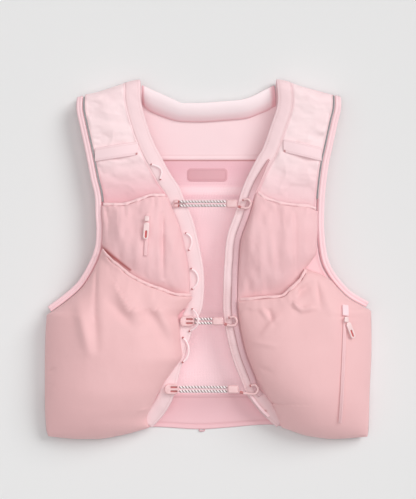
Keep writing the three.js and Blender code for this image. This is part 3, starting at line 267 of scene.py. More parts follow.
class Path:
    """A smooth line through points in plan or space, measured by its length."""

    def __init__(self, points: Sequence[Sequence[float]], samples: int = 48) -> None:
        """Works the line out once, as a centripetal spline.

        Args:
            points: the places it passes.
            samples: steps between two of them.
        """
        p = np.asarray(points, float)
        p = np.vstack([2 * p[0] - p[1], p, 2 * p[-1] - p[-2]])
        line = []
        for k in range(1, len(p) - 2):
            a, b, c, d = p[k - 1], p[k], p[k + 1], p[k + 2]
            gaps = [max(np.linalg.norm(n - m), TINY) ** 0.5 for m, n in ((a, b), (b, c), (c, d))]
            m1 = ((b - a) / gaps[0] - (c - a) / (gaps[0] + gaps[1]) + (c - b) / gaps[1]) * gaps[1]
            m2 = ((c - b) / gaps[1] - (d - b) / (gaps[1] + gaps[2]) + (d - c) / gaps[2]) * gaps[1]
            t = np.linspace(0, 1, samples, endpoint=False)[:, None]
            line.append((2 * t**3 - 3 * t**2 + 1) * b + (t**3 - 2 * t**2 + t) * m1
                        + (3 * t**2 - 2 * t**3) * c + (t**3 - t**2) * m2)
        self.line = np.vstack(line + [p[-2:-1]])
        length = np.concatenate([[0], np.cumsum(np.linalg.norm(np.diff(self.line, axis=0), axis=1))])
        self.length = float(length[-1])
        self.share = length / self.length

    def at(self, t: Grid) -> Grid:
        """Points at shares of the length."""
        t = np.asarray(t, float)
        return np.stack([np.interp(t, self.share, self.line[:, k]) for k in range(self.line.shape[1])], -1)

    def along(self, t: Grid) -> Grid:
        """Directions at shares of the length."""
        step = 2e-3
        return unit(self.at(np.clip(t + step, 0, 1)) - self.at(np.clip(t - step, 0, 1)))


class Crumple:
    """Smooth seeded noise over the plan, between about -1 and 1."""

    cells = 64
    origin = 512

    def __init__(self, seed: int) -> None:
        """Draws the noise's grid from a seed."""
        self.grid = np.random.default_rng(seed).uniform(-1, 1, (self.cells, self.cells))

    def at(self, x: Grid, y: Grid, wave: float, stretch: float = 1.0) -> Grid:
        """Noise with bumps of about a wavelength, drawn out along y by stretch."""
        u = np.asarray(x, float) / wave + self.origin
        v = np.asarray(y, float) / (wave * stretch) + self.origin
        i, j = np.floor(u).astype(int), np.floor(v).astype(int)
        s, t = ease(u - i), ease(v - j)

        def corner(a: int, b: int) -> Grid:
            return self.grid[(i + a) % self.cells, (j + b) % self.cells]

        low = corner(0, 0) * (1 - s) + corner(1, 0) * s
        high = corner(0, 1) * (1 - s) + corner(1, 1) * s
        return low * (1 - t) + high * t

    def creases(self, x: Grid, y: Grid, wave: float, stretch: float = 1.0) -> Grid:
        """Sharper creases: ridges where the noise changes sign."""
        return 1 - 2 * np.abs(self.at(x, y, wave, stretch)) ** 0.7

    def layers(self, x: Grid, y: Grid, rows: Sequence[Sequence[float]]) -> Grid:
        """Several noises together: rows of (strength, wave, stretch, shift along x)."""
        return sum(strength * self.at(x + shift, y, wave, stretch) for strength, wave, stretch, shift in rows)


@dataclass(frozen=True)
class VestForm:
    """The vest's shape: outlines in plan and the heights of its cloth, in millimetres."""

    width: float = 390
    length: float = 430
    front_rise: float = 30
    fold_height: float = 12
    fold_reach: float = 13
    side_curl: float = 12
    curl_reach: float = 14
    cloth: float = 1.6
    seam_gap: float = 0.4
    binding_width: float = 17
    band_width: float = 7.5
    band_thick: float = 2.8
    band_clear: float = 1.4
    piping_radius: float = 1.1
    rim_radius: float = 1.5
    chest_puff: float = 20
    lower_puff: float = 34
    rail_inset: float = 12.6
    rail_width: float = 7
    chest_foot: float = -0.275
    rail_end: float = -0.8
    corner_share: float = 0.09
    corner_drop: float = 2.5
    mouth_gap: float = 1.5
    mouth_spread: float = 3
    kept: dict = field(default_factory=dict, hash=False, compare=False)

    @property
    def half_width(self) -> float:
        """Half the vest's width."""
        return self.width / 2

    @property
    def half_length(self) -> float:
        """Half the vest's length."""
        return self.length / 2

    @property
    def layer(self) -> float:
        """Height of one cloth with its gap."""
        return self.cloth + self.seam_gap

    def remember(self, key: tuple, make: Callable[[], object]) -> object:
        """A curve that is worked out once and then kept."""
        if key not in self.kept:
            self.kept[key] = make()
        return self.kept[key]

    def table(self, name: str, rows: Sequence[Sequence[float]], column: int = 1, key: int = 0) -> Profile:
        """A kept profile of one column of a named table."""
        return self.remember((name, column, key), lambda: profile(rows, column, key))

    def edge(self, kind: str, side: Side) -> Path:
        """The plan line of the armhole ("arm") or of the front edge ("front")."""
        rows = (ARMHOLE if kind == "arm" else FRONT_EDGE)[side]
        scale = np.array([side.sign * self.half_width, self.half_length])
        return self.remember((kind, side), lambda: Path([np.array(r) * scale for r in rows]))

    def shoulder_top(self, out: Grid) -> Grid:
        """Height in plan of the shoulder fold at a distance from the middle."""
        return self.table("shoulder", SHOULDER_FOLD)(np.asarray(out) / self.half_width) * self.half_length

    def beside(self, kind: str, side: Side, t: Grid, inset: Grid) -> Grid:
        """Points beside the armhole or front edge, set in towards the panel.

        Args:
            kind: "arm" or "front".
            side: which front.
            t: shares of the line's length.
            inset: distances from the line.

        Returns:
            Plan points; at the shoulder they follow the fold's line.
        """
        t, inset = np.broadcast_arrays(np.asarray(t, float), np.asarray(inset, float))
        line = self.edge(kind, side)
        corner, along = line.at(t), line.along(t)
        turn = side.sign if kind == "arm" else -side.sign
        free = corner + turn * inset[..., None] * np.stack([along[..., 1], -along[..., 0]], -1)
        reach = -inset if kind == "arm" else inset
        out = np.abs(corner[..., 0]) + reach
        drop = self.shoulder_top(np.abs(corner[..., 0])) - corner[..., 1]
        held = np.stack([side.sign * out, self.shoulder_top(out) - drop], -1)
        share = (1 - ease(t, 0, self.corner_share))[..., None]
        return free * (1 - share) + held * share

    def crossing(self, kind: str, side: Side, inset: float, y: Grid) -> Grid:
        """How far out such a line crosses each height."""
        def rows() -> tuple[Grid, Grid]:
            p = self.beside(kind, side, np.linspace(0, 1, 400), inset)
            falling = np.concatenate([[True], p[1:, 1] < np.minimum.accumulate(p[:, 1])[:-1] - 1e-3])
            q = p[falling]
            return q[::-1, 1], np.abs(q[::-1, 0])

        ys, outs = self.remember((kind, side, round(inset, 3), "rows"), rows)
        y = np.asarray(y, float)
        value = np.interp(y, ys, outs)
        if kind == "front":
            slope = (outs[8] - outs[0]) / (ys[8] - ys[0])
            value = np.where(y < ys[0], outs[0] + slope * (y - ys[0]), value)
        return value

    def front_out(self, side: Side, y: Grid, inset: float) -> Grid:
        """Distance from the middle to a line beside the front edge."""
        return self.crossing("front", side, inset, y)

    def side_out(self, side: Side, y: Grid, arm_inset: float, fold_inset: float) -> Grid:
        """Distance out of the side: beside the armhole, and below it along the side fold."""
        corner = self.beside("arm", side, 1.0, arm_inset)
        fold = self.table(f"fold{side}", SIDE_FOLD[side])(np.asarray(y) / self.half_length)
        fold = fold * self.half_width - fold_inset
        share = np.clip((corner[1] - y) / self.corner_drop, 0, 1)
        return self.crossing("arm", side, arm_inset, y) * (1 - share) + fold * share

    def fold_share(self, x: Grid, y: Grid) -> Grid:
        """Rounding at the shoulder: 0 on the fold's line, 1 where the cloth lies flat."""
        t = np.clip(1 - (self.shoulder_top(np.abs(x)) - y) / self.fold_reach, 0, 1)
        return np.sqrt(1 - t * t)

    def front_height(self, side: Side, x: Grid, y: Grid) -> Grid:
        """Height of the middle of the front cloth."""
        up = np.asarray(y, float) / self.half_length
        inner, outer = self.front_out(side, y, 0), self.side_out(side, y, 0, 0)
        s = np.clip((np.abs(x) - inner) / (outer - inner), 0, 1)
        edge, middle, arm = (self.table("rise", RISE, k)(up) for k in (1, 2, 3))
        share = edge + (arm - edge) * s + 4 * (middle - (edge + arm) / 2) * s * (1 - s)
        return self.fold_height + (share * self.front_rise - self.fold_height) * self.fold_share(x, y)

    def back_height(self, x: Grid, y: Grid) -> Grid:
        """Height of the middle of the back cloth."""
        x, y = np.broadcast_arrays(np.asarray(x, float), np.asarray(y, float))
        outer = np.where(x < 0, self.side_out(Side.LEFT, y, 0, 0), self.side_out(Side.RIGHT, y, 0, 0))
        near = np.clip(1 - (outer - np.abs(x)) / self.curl_reach, 0, 1)
        share = self.table("curl", CURL)(y / self.half_length)
        curl = self.side_curl * share * (1 - np.sqrt(1 - near * near))
        fold = self.fold_height - self.seam_gap - self.cloth
        return fold + (self.cloth / 2 + curl - fold) * self.fold_share(x, y)

    def folds(self, side: Side, x: Grid, y: Grid, rows: dict[Side, tuple] = FOLDS) -> Grid:
        """Height that a table's soft folds or creases add at plan places."""
        total = np.zeros(np.broadcast(x, y).shape)
        scale = np.array([self.half_width, self.half_length])
        for out, up, to_out, to_up, depth, spread in rows[side]:
            off, t = off_line(np.abs(x), y, scale * (out, up), scale * (to_out, to_up))
            total = total + depth * bell(off, 0, spread) * (0.4 + 0.6 * np.sin(np.pi * t))
        return total

    def level(self, line: str, side: Side, s: Grid) -> Grid:
        """Height in plan of a pocket's rim or hem at a share across."""
        return self.table(f"{line}{side}", LEVELS[line][side])(s) * self.half_length

    def chest_span(self, side: Side, y: Grid) -> tuple[Grid, Grid]:
        """A chest pocket's front and arm edges."""
        own = self.table(f"chest_side{side}", CHEST_SIDE[side])(np.asarray(y) / self.half_length)
        arm = self.crossing("arm", side, self.band_width + 2 * self.seam_gap, y)
        inner = self.front_out(side, y, self.binding_width + self.seam_gap)
        return inner, np.minimum(own * self.half_width, arm)

    def puff(self, kind: str, side: Side, s: Grid, along: Grid, x: Grid, y: Grid) -> Grid:
        """How far a pocket's wall stands out over its seams."""
        crown = self.chest_puff if kind == "chest" else self.lower_puff
        full = self.table(f"{kind}_full", FULLNESS[kind])(along)
        return dome(s) * full * (crown + self.folds(side, x, y))

    def chest_lift(self, side: Side, x: Grid, y: Grid) -> Grid:
        """Height of a chest pocket over the front cloth, 0 outside it."""
        inner, outer = self.chest_span(side, y)
        s = (np.abs(x) - inner) / (outer - inner)
        rim = self.level("chest_rim", side, np.clip(s, 0, 1))
        foot = self.chest_foot * self.half_length
        along = (rim - y) / (rim - foot)
        inside = (s >= 0) & (s <= 1) & (along > -0.03) & (along <= 1)
        return np.where(inside, self.layer + self.puff("chest", side, np.clip(s, 0, 1), along, x, y), 0)

    def lower_span(self, side: Side, y: Grid) -> tuple[Grid, Grid]:
        """A lower pocket's front and outer edges."""
        up = np.asarray(y, float) / self.half_length
        inner = self.table(f"lower_front{side}", LOWER_FRONT[side])(up) * self.half_width
        if side is Side.RIGHT:
            rail = self.front_out(side, y, self.rail_inset + self.rail_width / 2 + self.layer)
            inner = np.where(up < self.rail_end, inner, np.maximum(inner, rail))
        own = self.table(f"lower_shoulder{side}", LOWER_SHOULDER[side])(up) * self.half_width
        return inner, np.minimum(own, self.side_out(side, y, self.band_width + self.band_clear, 0))

    def lower_lift(self, side: Side, s: Grid, along: Grid, x: Grid, y: Grid) -> Grid:
        """Height of a lower pocket over the front cloth; its mouth rests on the chest pocket."""
        seam = self.layer * (2 - np.clip(along / 0.3, 0, 1))
        own = seam + self.puff("lower", side, s, along, x, y)
        near = 2 * self.rim_radius
        under = np.maximum(self.chest_lift(side, x, y), self.chest_lift(side, x, y + near))
        under = np.maximum(under, self.chest_lift(side, x - side.sign * near, y))
        least = under + self.layer + self.rim_radius + self.mouth_gap
        over = np.clip(0.5 + (own - least) / (2 * self.mouth_spread), 0, 1)
        soft = least + (own - least) * over + self.mouth_spread * over * (1 - over)
        return np.where(under > 0, np.maximum(least, soft), own)

    def chest_point(self, side: Side, s: Grid, v: Grid) -> Grid:
        """Middle of a chest pocket's wall at shares across and down."""
        rim = self.level("chest_rim", side, s)
        y = between(rim, self.chest_foot * self.half_length, v)
        inner, outer = self.chest_span(side, y)
        x = side.sign * between(inner, outer, s)
        lift = self.layer + self.puff("chest", side, s, v, x, y)
        return np.stack([x, y, self.front_height(side, x, y) + lift], -1)

    def lower_point(self, side: Side, s: Grid, along: Grid) -> Grid:
        """Middle of a lower pocket's wall at shares across and down."""
        rim, hem = self.level("lower_rim", side, s), self.level("lower_hem", side, s)
        y = between(rim, hem, along)
        inner, outer = self.lower_span(side, y)
        x = side.sign * between(inner, outer, s)
        lift = self.lower_lift(side, s, along, x, y)
        hem_in = 1 - ease((outer - inner) * (1 - s), 0, 1.6)
        lift = lift * (1 - hem_in) + self.seam_gap * hem_in
        return np.stack([x, y, self.front_height(side, x, y) + lift], -1)

    def lower_top(self, side: Side, x: Grid, y: Grid) -> Grid:
        """Height of a lower pocket's middle over the ground at plan places."""
        inner, outer = self.lower_span(side, y)
        s = np.clip((np.abs(x) - inner) / (outer - inner), 0, 1)
        rim, hem = self.level("lower_rim", side, s), self.level("lower_hem", side, s)
        along = np.clip((rim - y) / (rim - hem), 0, 1)
        return self.front_height(side, x, y) + self.lower_lift(side, s, along, x, y)

    def on_front(self, side: Side, plan: Grid, lift: Grid = 0.0) -> Grid:
        """Plan points laid on the front cloth."""
        return risen(plan, self.front_height(side, plan[..., 0], plan[..., 1]) + lift)

    def on_back(self, plan: Grid, lift: Grid = 0.0) -> Grid:
        """Plan points laid on the back cloth."""
        return risen(plan, self.back_height(plan[..., 0], plan[..., 1]) + lift)


FORM = VestForm()


class Wire:
    """A shader socket that takes part in sums: each operator adds its Math node."""

    def __init__(self, sheet: ShaderSheet, socket: bpy.types.NodeSocket) -> None:
        """Holds an output socket of a material's node tree."""
        self.sheet = sheet
        self.socket = socket

    def math(self, operation: str, *others: Wire | float, clamp: bool = False) -> Wire:
        """A Math node on this value and others."""
        inputs = {k: v for k, v in enumerate((self, *others))}
        return self.sheet.node("ShaderNodeMath", {"operation": operation, "use_clamp": clamp}, inputs)

    def __add__(self, other: Wire | float) -> Wire:
        """self + other."""
        return self.math("ADD", other)

    def __mul__(self, other: Wire | float) -> Wire:
        """self * other."""
        return self.math("MULTIPLY", other)

    def __sub__(self, other: Wire | float) -> Wire:
        """self - other."""
        return self.math("SUBTRACT", other)

    def wave(self) -> Wire:
        """The sine of the value."""
        return self.math("SINE")

    def above(self, limit: float) -> Wire:
        """1 where the value is over a limit."""
        return self.math("GREATER_THAN", limit)

    def held(self) -> Wire:
        """The value kept from 0 to 1."""
        return self.math("ADD", 0.0, clamp=True)


class ShaderSheet:
    """The node tree of one material."""

    def __init__(self, name: str) -> None:
        """Starts a material with a Principled shader."""
        self.material = bpy.data.materials.new(name)
        self.material.use_nodes = True
        self.tree = self.material.node_tree
        self.tree.nodes.clear()
        output = self.tree.nodes.new("ShaderNodeOutputMaterial")
        self.shader = self.tree.nodes.new("ShaderNodeBsdfPrincipled")
        self.tree.links.new(self.shader.outputs[0], output.inputs[0])

    def node(self, kind: str, settings: dict | None = None, inputs: dict | None = None,
             output: int | str = 0) -> Wire:
        """Any node.

        Args:
            kind: the node's type.
            settings: its properties, set first.
            inputs: values or links of its sockets, by name or number.
            output: which output to hand on.

        Returns:
            The chosen output.
        """
        made = self.tree.nodes.new(kind)
        for key, value in (settings or {}).items():
            setattr(made, key, value)
        for key, value in (inputs or {}).items():
            self.feed(made.inputs[key], value)
        return Wire(self, made.outputs[output])

    def feed(self, socket: bpy.types.NodeSocket, value: Wire | float | Sequence[float]) -> None:
        """Links a wire to a socket, or sets its value."""
        if isinstance(value, Wire):
            self.tree.links.new(value.socket, socket)
        elif isinstance(value, (tuple, list)) and len(value) == 3 and socket.type == "RGBA":
            socket.default_value = (*value, 1)
        else:
            socket.default_value = value

    def set(self, **sockets: Wire | float | Sequence[float]) -> None:
        """Feeds the shader's own sockets; Base_Color stands for Base Color."""
        for key, value in sockets.items():
            self.feed(self.shader.inputs[key.replace("_", " ")], value)

    def noise(self, scale: float, detail: float = 2, roughness: float = 0.5) -> Wire:
        """Noise over the piece, about 0.5.

        Args:
            scale: bumps for each metre.
            detail: finer layers.
            roughness: their strength.
        """
        place = self.node("ShaderNodeTexCoord", output="Object")
        return self.node("ShaderNodeTexNoise", inputs={"Vector": place, "Scale": scale, "Detail": detail,
                                                        "Roughness": roughness})

    def thread(self, part: str) -> Wire:
        """Distance along the cloth's weave ("X" or "Y"), in millimetres."""
        weave = self.node("ShaderNodeAttribute", {"attribute_name": "weave"}, output="Vector")
        return self.node("ShaderNodeSeparateXYZ", inputs={0: weave}, output=part)

    def mark(self) -> Wire:
        """The piece's mark: how much of the second colour shows."""
        # Mostly painted shade: the second colour darkens slits, seams, grooves, openings and hollows
        return self.node("ShaderNodeAttribute", {"attribute_name": "mark"}, output="Fac")

    def blend(self, share: Wire, first: Wire | Colour, second: Wire | Colour) -> Wire:
        """A colour between two."""
        return self.node("ShaderNodeMix", {"data_type": "RGBA"}, {0: share, 6: first, 7: second}, 2)

    def bump(self, height: Wire, distance: float, strength: float = 1.0, under: Wire | None = None) -> Wire:
        """A Bump node's normal."""
        inputs = {"Height": height, "Distance": distance, "Strength": strength}
        if under:
            inputs["Normal"] = under
        return self.node("ShaderNodeBump", inputs=inputs)


# Second colours: DEEP_PINK is painted shade at seams, in grooves and in hollows, and also the shoulder
# panels' pinker lower tone; the dark red is painted shade in slits, openings, grooves and under edges
DEEP_PINK = (0.80, 0.42, 0.46)
SHADE_RED = (0.42, 0.09, 0.09)
SHEEN = (1.0, 0.85, 0.86, 1.0)
# Bumps for each metre in a cloth's patches, crumples and threads
PATCHES = 38
CRUMPLES = 120
THREADS = 900


class Weave(Enum):
    """How a cloth is made, which sets its fine relief."""

    PLAIN = "plain"
    KNIT = "open knit"
    TAPE = "ribbed tape"


@dataclass(frozen=True)
class ClothFinish:
    """A cloth: its colours, gloss and weave.

    The mark attribute brings in the second colour, mostly painted shade in slits, seams and hollows. Glow is
    emission, painted light that stands in for the light that thin cloth lets through.
    """

    name: str
    slot: str
    colour: Colour
    # hollow: the darker tone of the random mottle, and painted shade in the weave's hollows
    hollow: Colour
    marked: Colour = SHADE_RED
    weave: Weave = Weave.PLAIN
    roughness: float = 0.6
    sheen: float = 0.3
    pitch: float = 0.9
    relief: float = 0.00006
    mottle: float = 0.12
    glow: float = 0.06
    crumple: float = 0.16

    def material(self) -> bpy.types.Material:
        """Builds the cloth's material."""
        s = ShaderSheet(self.name)
        patches = s.noise(PATCHES, 3)
        colour = s.blend((patches - 0.5) * self.mottle * 2 + 0.3, self.colour, self.hollow)
        height = self.relief_of(s)
        # Painted shade: the weave's hollows are darkened towards the hollow colour
        threads = s.blend(height * 0.22, colour, self.hollow)
        s.set(Base_Color=s.blend(s.mark(), threads, self.marked))
        s.set(Roughness=(patches * 0.1 + (self.roughness - 0.05)).held())
        fine = s.noise(THREADS)
        first = s.bump(s.noise(CRUMPLES, 4, 0.6), 0.0009, self.crumple)
        s.set(Normal=s.bump(height + fine * 0.4, self.relief, 0.8, first))
        s.set(Sheen_Weight=self.sheen * 0.5, Sheen_Roughness=0.5, Sheen_Tint=SHEEN, IOR=1.4)
        # Painted light: emission in the cloth's own colour lifts its shaded parts
        s.set(Emission_Color=threads, Emission_Strength=self.glow)
        return s.material

    def relief_of(self, s: ShaderSheet) -> Wire:
        """Height of the weave, from 0 to 1."""
        turn = 2 * math.pi / self.pitch
        across, along = s.thread("X"), s.thread("Y")
        if self.weave is Weave.KNIT:
            a = ((across + along) * (turn * 0.7)).wave()
            b = ((across - along) * (turn * 0.7)).wave()
            return (a * b).above(0.35)
        if self.weave is Weave.TAPE:
            return (along * turn).wave() * 0.5 + 0.5
        return (across * turn).wave() * (along * turn).wave() * 0.5 + 0.5


@dataclass(frozen=True)
class TrimFinish:
    """Moulded or reflective trim, with a second colour where it is marked, such as painted shade under the
    slots and the piping's pale edge.
    """

    name: str
    slot: str
    colour: Colour
    marked: Colour
    roughness: float = 0.35
    coat: float = 0.0
    grain: float = 0.00005

    def material(self) -> bpy.types.Material:
        """Builds the trim's material."""
        s = ShaderSheet(self.name)
        patches = s.noise(160, 2)
        s.set(Base_Color=s.blend(s.mark(), s.blend((patches - 0.5) * 0.3 + 0.15, self.colour, self.marked),
                                 self.marked))
        s.set(Roughness=(patches * 0.16 + (self.roughness - 0.08)).held())
        s.set(Coat_Weight=self.coat, Normal=s.bump(s.noise(1400, 2), self.grain, 0.5))
        return s.material


@dataclass(frozen=True)
class BraidFinish:
    """Braided elastic: pale plaits with dark flecks that wind both ways."""

    name: str
    slot: str
    colour: Colour
    fleck: Colour
    pitch: float = 3.7

    def material(self) -> bpy.types.Material:
        """Builds the braid's material; the weave attribute holds turns round and millimetres along."""
        s = ShaderSheet(self.name)
        round_cord, along = s.thread("X"), s.thread("Y")
        wind = along * (2 * math.pi / self.pitch)
        a = (wind + round_cord * (4 * math.pi)).wave()
        flecks = (a * 3.0 - 1.1).held()
        s.set(Base_Color=s.blend(flecks, self.colour, self.fleck), Roughness=0.75)
        s.set(Normal=s.bump(a, 0.0003, 0.8), Sheen_Weight=0.2)
        return s.material


class Finishes:
    """Every finish of the vest, its material made when first used."""

    woven = ClothFinish("crinkled_woven", "woven", (0.94, 0.77, 0.78), (0.88, 0.62, 0.65), DEEP_PINK,
                        roughness=0.62, sheen=0.35, pitch=1.0, relief=0.0001, mottle=0.3, crumple=0.5)
    facing = ClothFinish("smooth_facing", "woven", (0.92, 0.71, 0.735), (0.89, 0.63, 0.66))
    binding = ClothFinish("front_binding", "tape", (0.885, 0.68, 0.70), (0.85, 0.59, 0.615))
    # A paler copy of the tape cloth: painted light for the collar's lit face; its marks are painted shade
    collar = ClothFinish("lit_collar_facing", "tape", (0.97, 0.84, 0.86), (0.94, 0.76, 0.79), DEEP_PINK,
                         sheen=0.4, relief=0.00005, mottle=0.1)
    label = ClothFinish("label_facing", "woven", (0.71, 0.395, 0.435), (0.68, 0.365, 0.405),
                        (0.62, 0.32, 0.36), sheen=0.2, relief=0.00005, mottle=0.1)
    # Its glow is painted light that lifts the shade in the gap between the fronts; its marked colour is
    # painted shade
    knit = ClothFinish("back_mesh", "mesh", (0.875, 0.66, 0.69), (0.81, 0.53, 0.575), (0.68, 0.37, 0.425),
                       Weave.KNIT, roughness=0.8, pitch=2.6, relief=0.0002, mottle=0.15, glow=0.24)
    stretch = ClothFinish("pocket_knit", "mesh", (0.87, 0.57, 0.59), (0.79, 0.43, 0.45), SHADE_RED, Weave.KNIT,
                          roughness=0.75, sheen=0.35, pitch=1.9, relief=0.00012, mottle=0.25, crumple=0.34)
    satin = ClothFinish("pocket_satin", "satin", (0.78, 0.485, 0.49), (0.73, 0.42, 0.43),
                        roughness=0.55, sheen=0.35, relief=0.00005, mottle=0.2, glow=0.13, crumple=0.24)
    band = ClothFinish("hem_satin", "satin", (0.86, 0.56, 0.595), (0.82, 0.47, 0.515),
                       roughness=0.55, relief=0.00005, mottle=0.15)
    tape = ClothFinish("binding_tape", "tape", (0.92, 0.68, 0.71), (0.88, 0.57, 0.61), SHADE_RED, Weave.TAPE,
                       roughness=0.5, pitch=1.2, relief=0.00005)
    chest_elastic = ClothFinish("chest_elastic", "tape", (0.90, 0.635, 0.65), (0.84, 0.52, 0.54),
                                roughness=0.7, sheen=0.4, pitch=1.6, mottle=0.25)
    lower_elastic = replace(chest_elastic, name="lower_elastic", colour=(0.88, 0.59, 0.60),
                            hollow=(0.82, 0.49, 0.50))
    loop_cord = ClothFinish("loop_cord", "tape", (0.95, 0.78, 0.80), (0.92, 0.70, 0.72),
                            relief=0.00004, mottle=0.1, glow=0.08)
    chest_coil = ClothFinish("chest_coil", "tape", (0.87, 0.57, 0.59), (0.82, 0.48, 0.50), DEEP_PINK,
                             Weave.TAPE, roughness=0.7, pitch=1.5, relief=0.0001, mottle=0.2)
    rail = ClothFinish("ribbed_rail", "rail", (0.74, 0.48, 0.51), (0.64, 0.40, 0.44), SHADE_RED, Weave.TAPE,
                       roughness=0.55, sheen=0.2, pitch=1.8, relief=0.0002, mottle=0.2)
    coil = ClothFinish("zip_coil", "tape", (0.89, 0.60, 0.61), (0.84, 0.50, 0.52), DEEP_PINK, Weave.TAPE,
                       roughness=0.55, sheen=0.2, pitch=1.5, relief=0.00015, mottle=0.1)
    piping = TrimFinish("reflective_piping", "piping", (0.20, 0.20, 0.205), (0.93, 0.84, 0.85),
                        roughness=0.45)
    plastic = TrimFinish("soft_plastic", "plastic", (0.95, 0.77, 0.77), (0.6, 0.12, 0.12), coat=0.2)
    clips = replace(plastic, name="clip_plastic", colour=(0.88, 0.60, 0.61), marked=(0.5, 0.1, 0.1))
    braid = BraidFinish("braided_cord", "braid", (0.98, 0.90, 0.90), (0.17, 0.06, 0.06))
    made: dict[str, bpy.types.Material] = {}

    @classmethod
    def of(cls, finish: ClothFinish | TrimFinish | BraidFinish) -> bpy.types.Material:
        """The material of a finish."""
        if finish.name not in cls.made:
            cls.made[finish.name] = finish.material()
        return cls.made[finish.name]


@dataclass
class Body:
    """Points, faces and attributes of a mesh while it is made, in millimetres."""

    points: Grid
    faces: list[tuple[int, ...]]
    weave: Grid
    mark: Grid

    @staticmethod
    def joined(parts: Iterable[Body]) -> Body:
        """Several bodies in one mesh."""
        points, faces, weave, mark, base = [], [], [], [], 0
        for part in parts:
            faces += [tuple(i + base for i in f) for f in part.faces]
            points.append(part.points)
            weave.append(part.weave)
            mark.append(part.mark)
            base += len(part.points)
        return Body(np.vstack(points), faces, np.vstack(weave), np.concatenate(mark))

    def outward(self) -> Body:
        """The body with its faces turned out."""
        volume = 0.0
        for size in (3, 4):
            faces = np.array([f for f in self.faces if len(f) == size])
            if len(faces):
                a, b, c = (self.points[faces[:, k]] for k in range(3))
                volume += float(np.sum(a * np.cross(b, c)))
                if size == 4:
                    volume += float(np.sum(a * np.cross(c, self.points[faces[:, 3]])))
        if volume < 0:
            self.faces = [f[::-1] for f in self.faces]
        return self


def lattice(rows: int, columns: int, start: int = 0, wrap: bool = False) -> list[tuple[int, ...]]:
    """Quads over a grid of points, row by row; wrap joins each row's ends."""
    across = columns if wrap else columns - 1
    return [(start + j * columns + i, start + j * columns + (i + 1) % columns,
             start + (j + 1) * columns + (i + 1) % columns, start + (j + 1) * columns + i)
            for j in range(rows - 1) for i in range(across)]


def threads_of(middle: Grid) -> Grid:
    """Distances along both ways of a grid of points."""
    across = np.zeros(middle.shape[:2])
    along = np.zeros(middle.shape[:2])
    across[:, 1:] = np.cumsum(np.linalg.norm(np.diff(middle, axis=1), axis=2), axis=1)
    along[1:] = np.cumsum(np.linalg.norm(np.diff(middle, axis=0), axis=2), axis=0)
    return np.stack([across, along, np.zeros_like(across)], -1)


def normals_of(middle: Grid) -> Grid:
    """Directions out of a grid of points."""
    du, dv = np.gradient(middle, axis=1), np.gradient(middle, axis=0)
    n = unit(np.cross(du, dv))
    return n * np.sign(n[..., 2].mean() or 1)


# Shares of half the thickness that a wall's edge stands out, and of the radius at a cord's tip
EDGE_ROUND = 0.9
CORD_TIP = 0.15


def wall(middle: Grid, thick: Grid | float, mark: Grid | None = None) -> Body:
    """A wall of cloth about a grid of points, rounded at its edges.

    Args:
        middle: rows of points.
        thick: thickness, alone or for each point.
        mark: share of the second colour for each point.

    Returns:
        The closed body.
    """
    rows, columns = middle.shape[:2]
    normal = normals_of(middle)
    half = np.broadcast_to(np.asarray(thick, float), (rows, columns))[..., None] / 2
    top, under = (middle + normal * half).reshape(-1, 3), (middle - normal * half).reshape(-1, 3)
    count = rows * columns
    faces = lattice(rows, columns)
    faces += [tuple(i + count for i in f[::-1]) for f in faces]
    ring = list(range(columns))
    ring += [j * columns + columns - 1 for j in range(1, rows)]
    ring += [(rows - 1) * columns + i for i in range(columns - 2, -1, -1)]
    ring += [j * columns for j in range(rows - 2, 0, -1)]
    out = edge_directions(middle, ring) * half.reshape(-1)[ring, None] * EDGE_ROUND
    edge = middle.reshape(-1, 3)[ring] + out
    start = 2 * count
    for k, i in enumerate(ring):
        j, n = ring[(k + 1) % len(ring)], (k + 1) % len(ring)
        faces.append((i, start + k, start + n, j))
        faces.append((start + k, i + count, j + count, start + n))
    weave = threads_of(middle).reshape(-1, 3)
    marks = np.zeros(count) if mark is None else np.asarray(mark, float).reshape(-1)
    return Body(np.vstack([top, under, edge]), faces, np.vstack([weave, weave, weave[ring]]),
                np.concatenate([marks, marks, marks[ring]])).outward()


def edge_directions(middle: Grid, ring: list[int]) -> Grid:
    """Directions out of a grid's border, in its own surface."""
    flat = middle.reshape(-1, 3)
    rows, columns = middle.shape[:2]
    j, k = np.divmod(ring, columns)
    inward = np.clip(j, 1, rows - 2) * columns + np.clip(k, 1, columns - 2)
    return unit(flat[ring] - flat[inward])


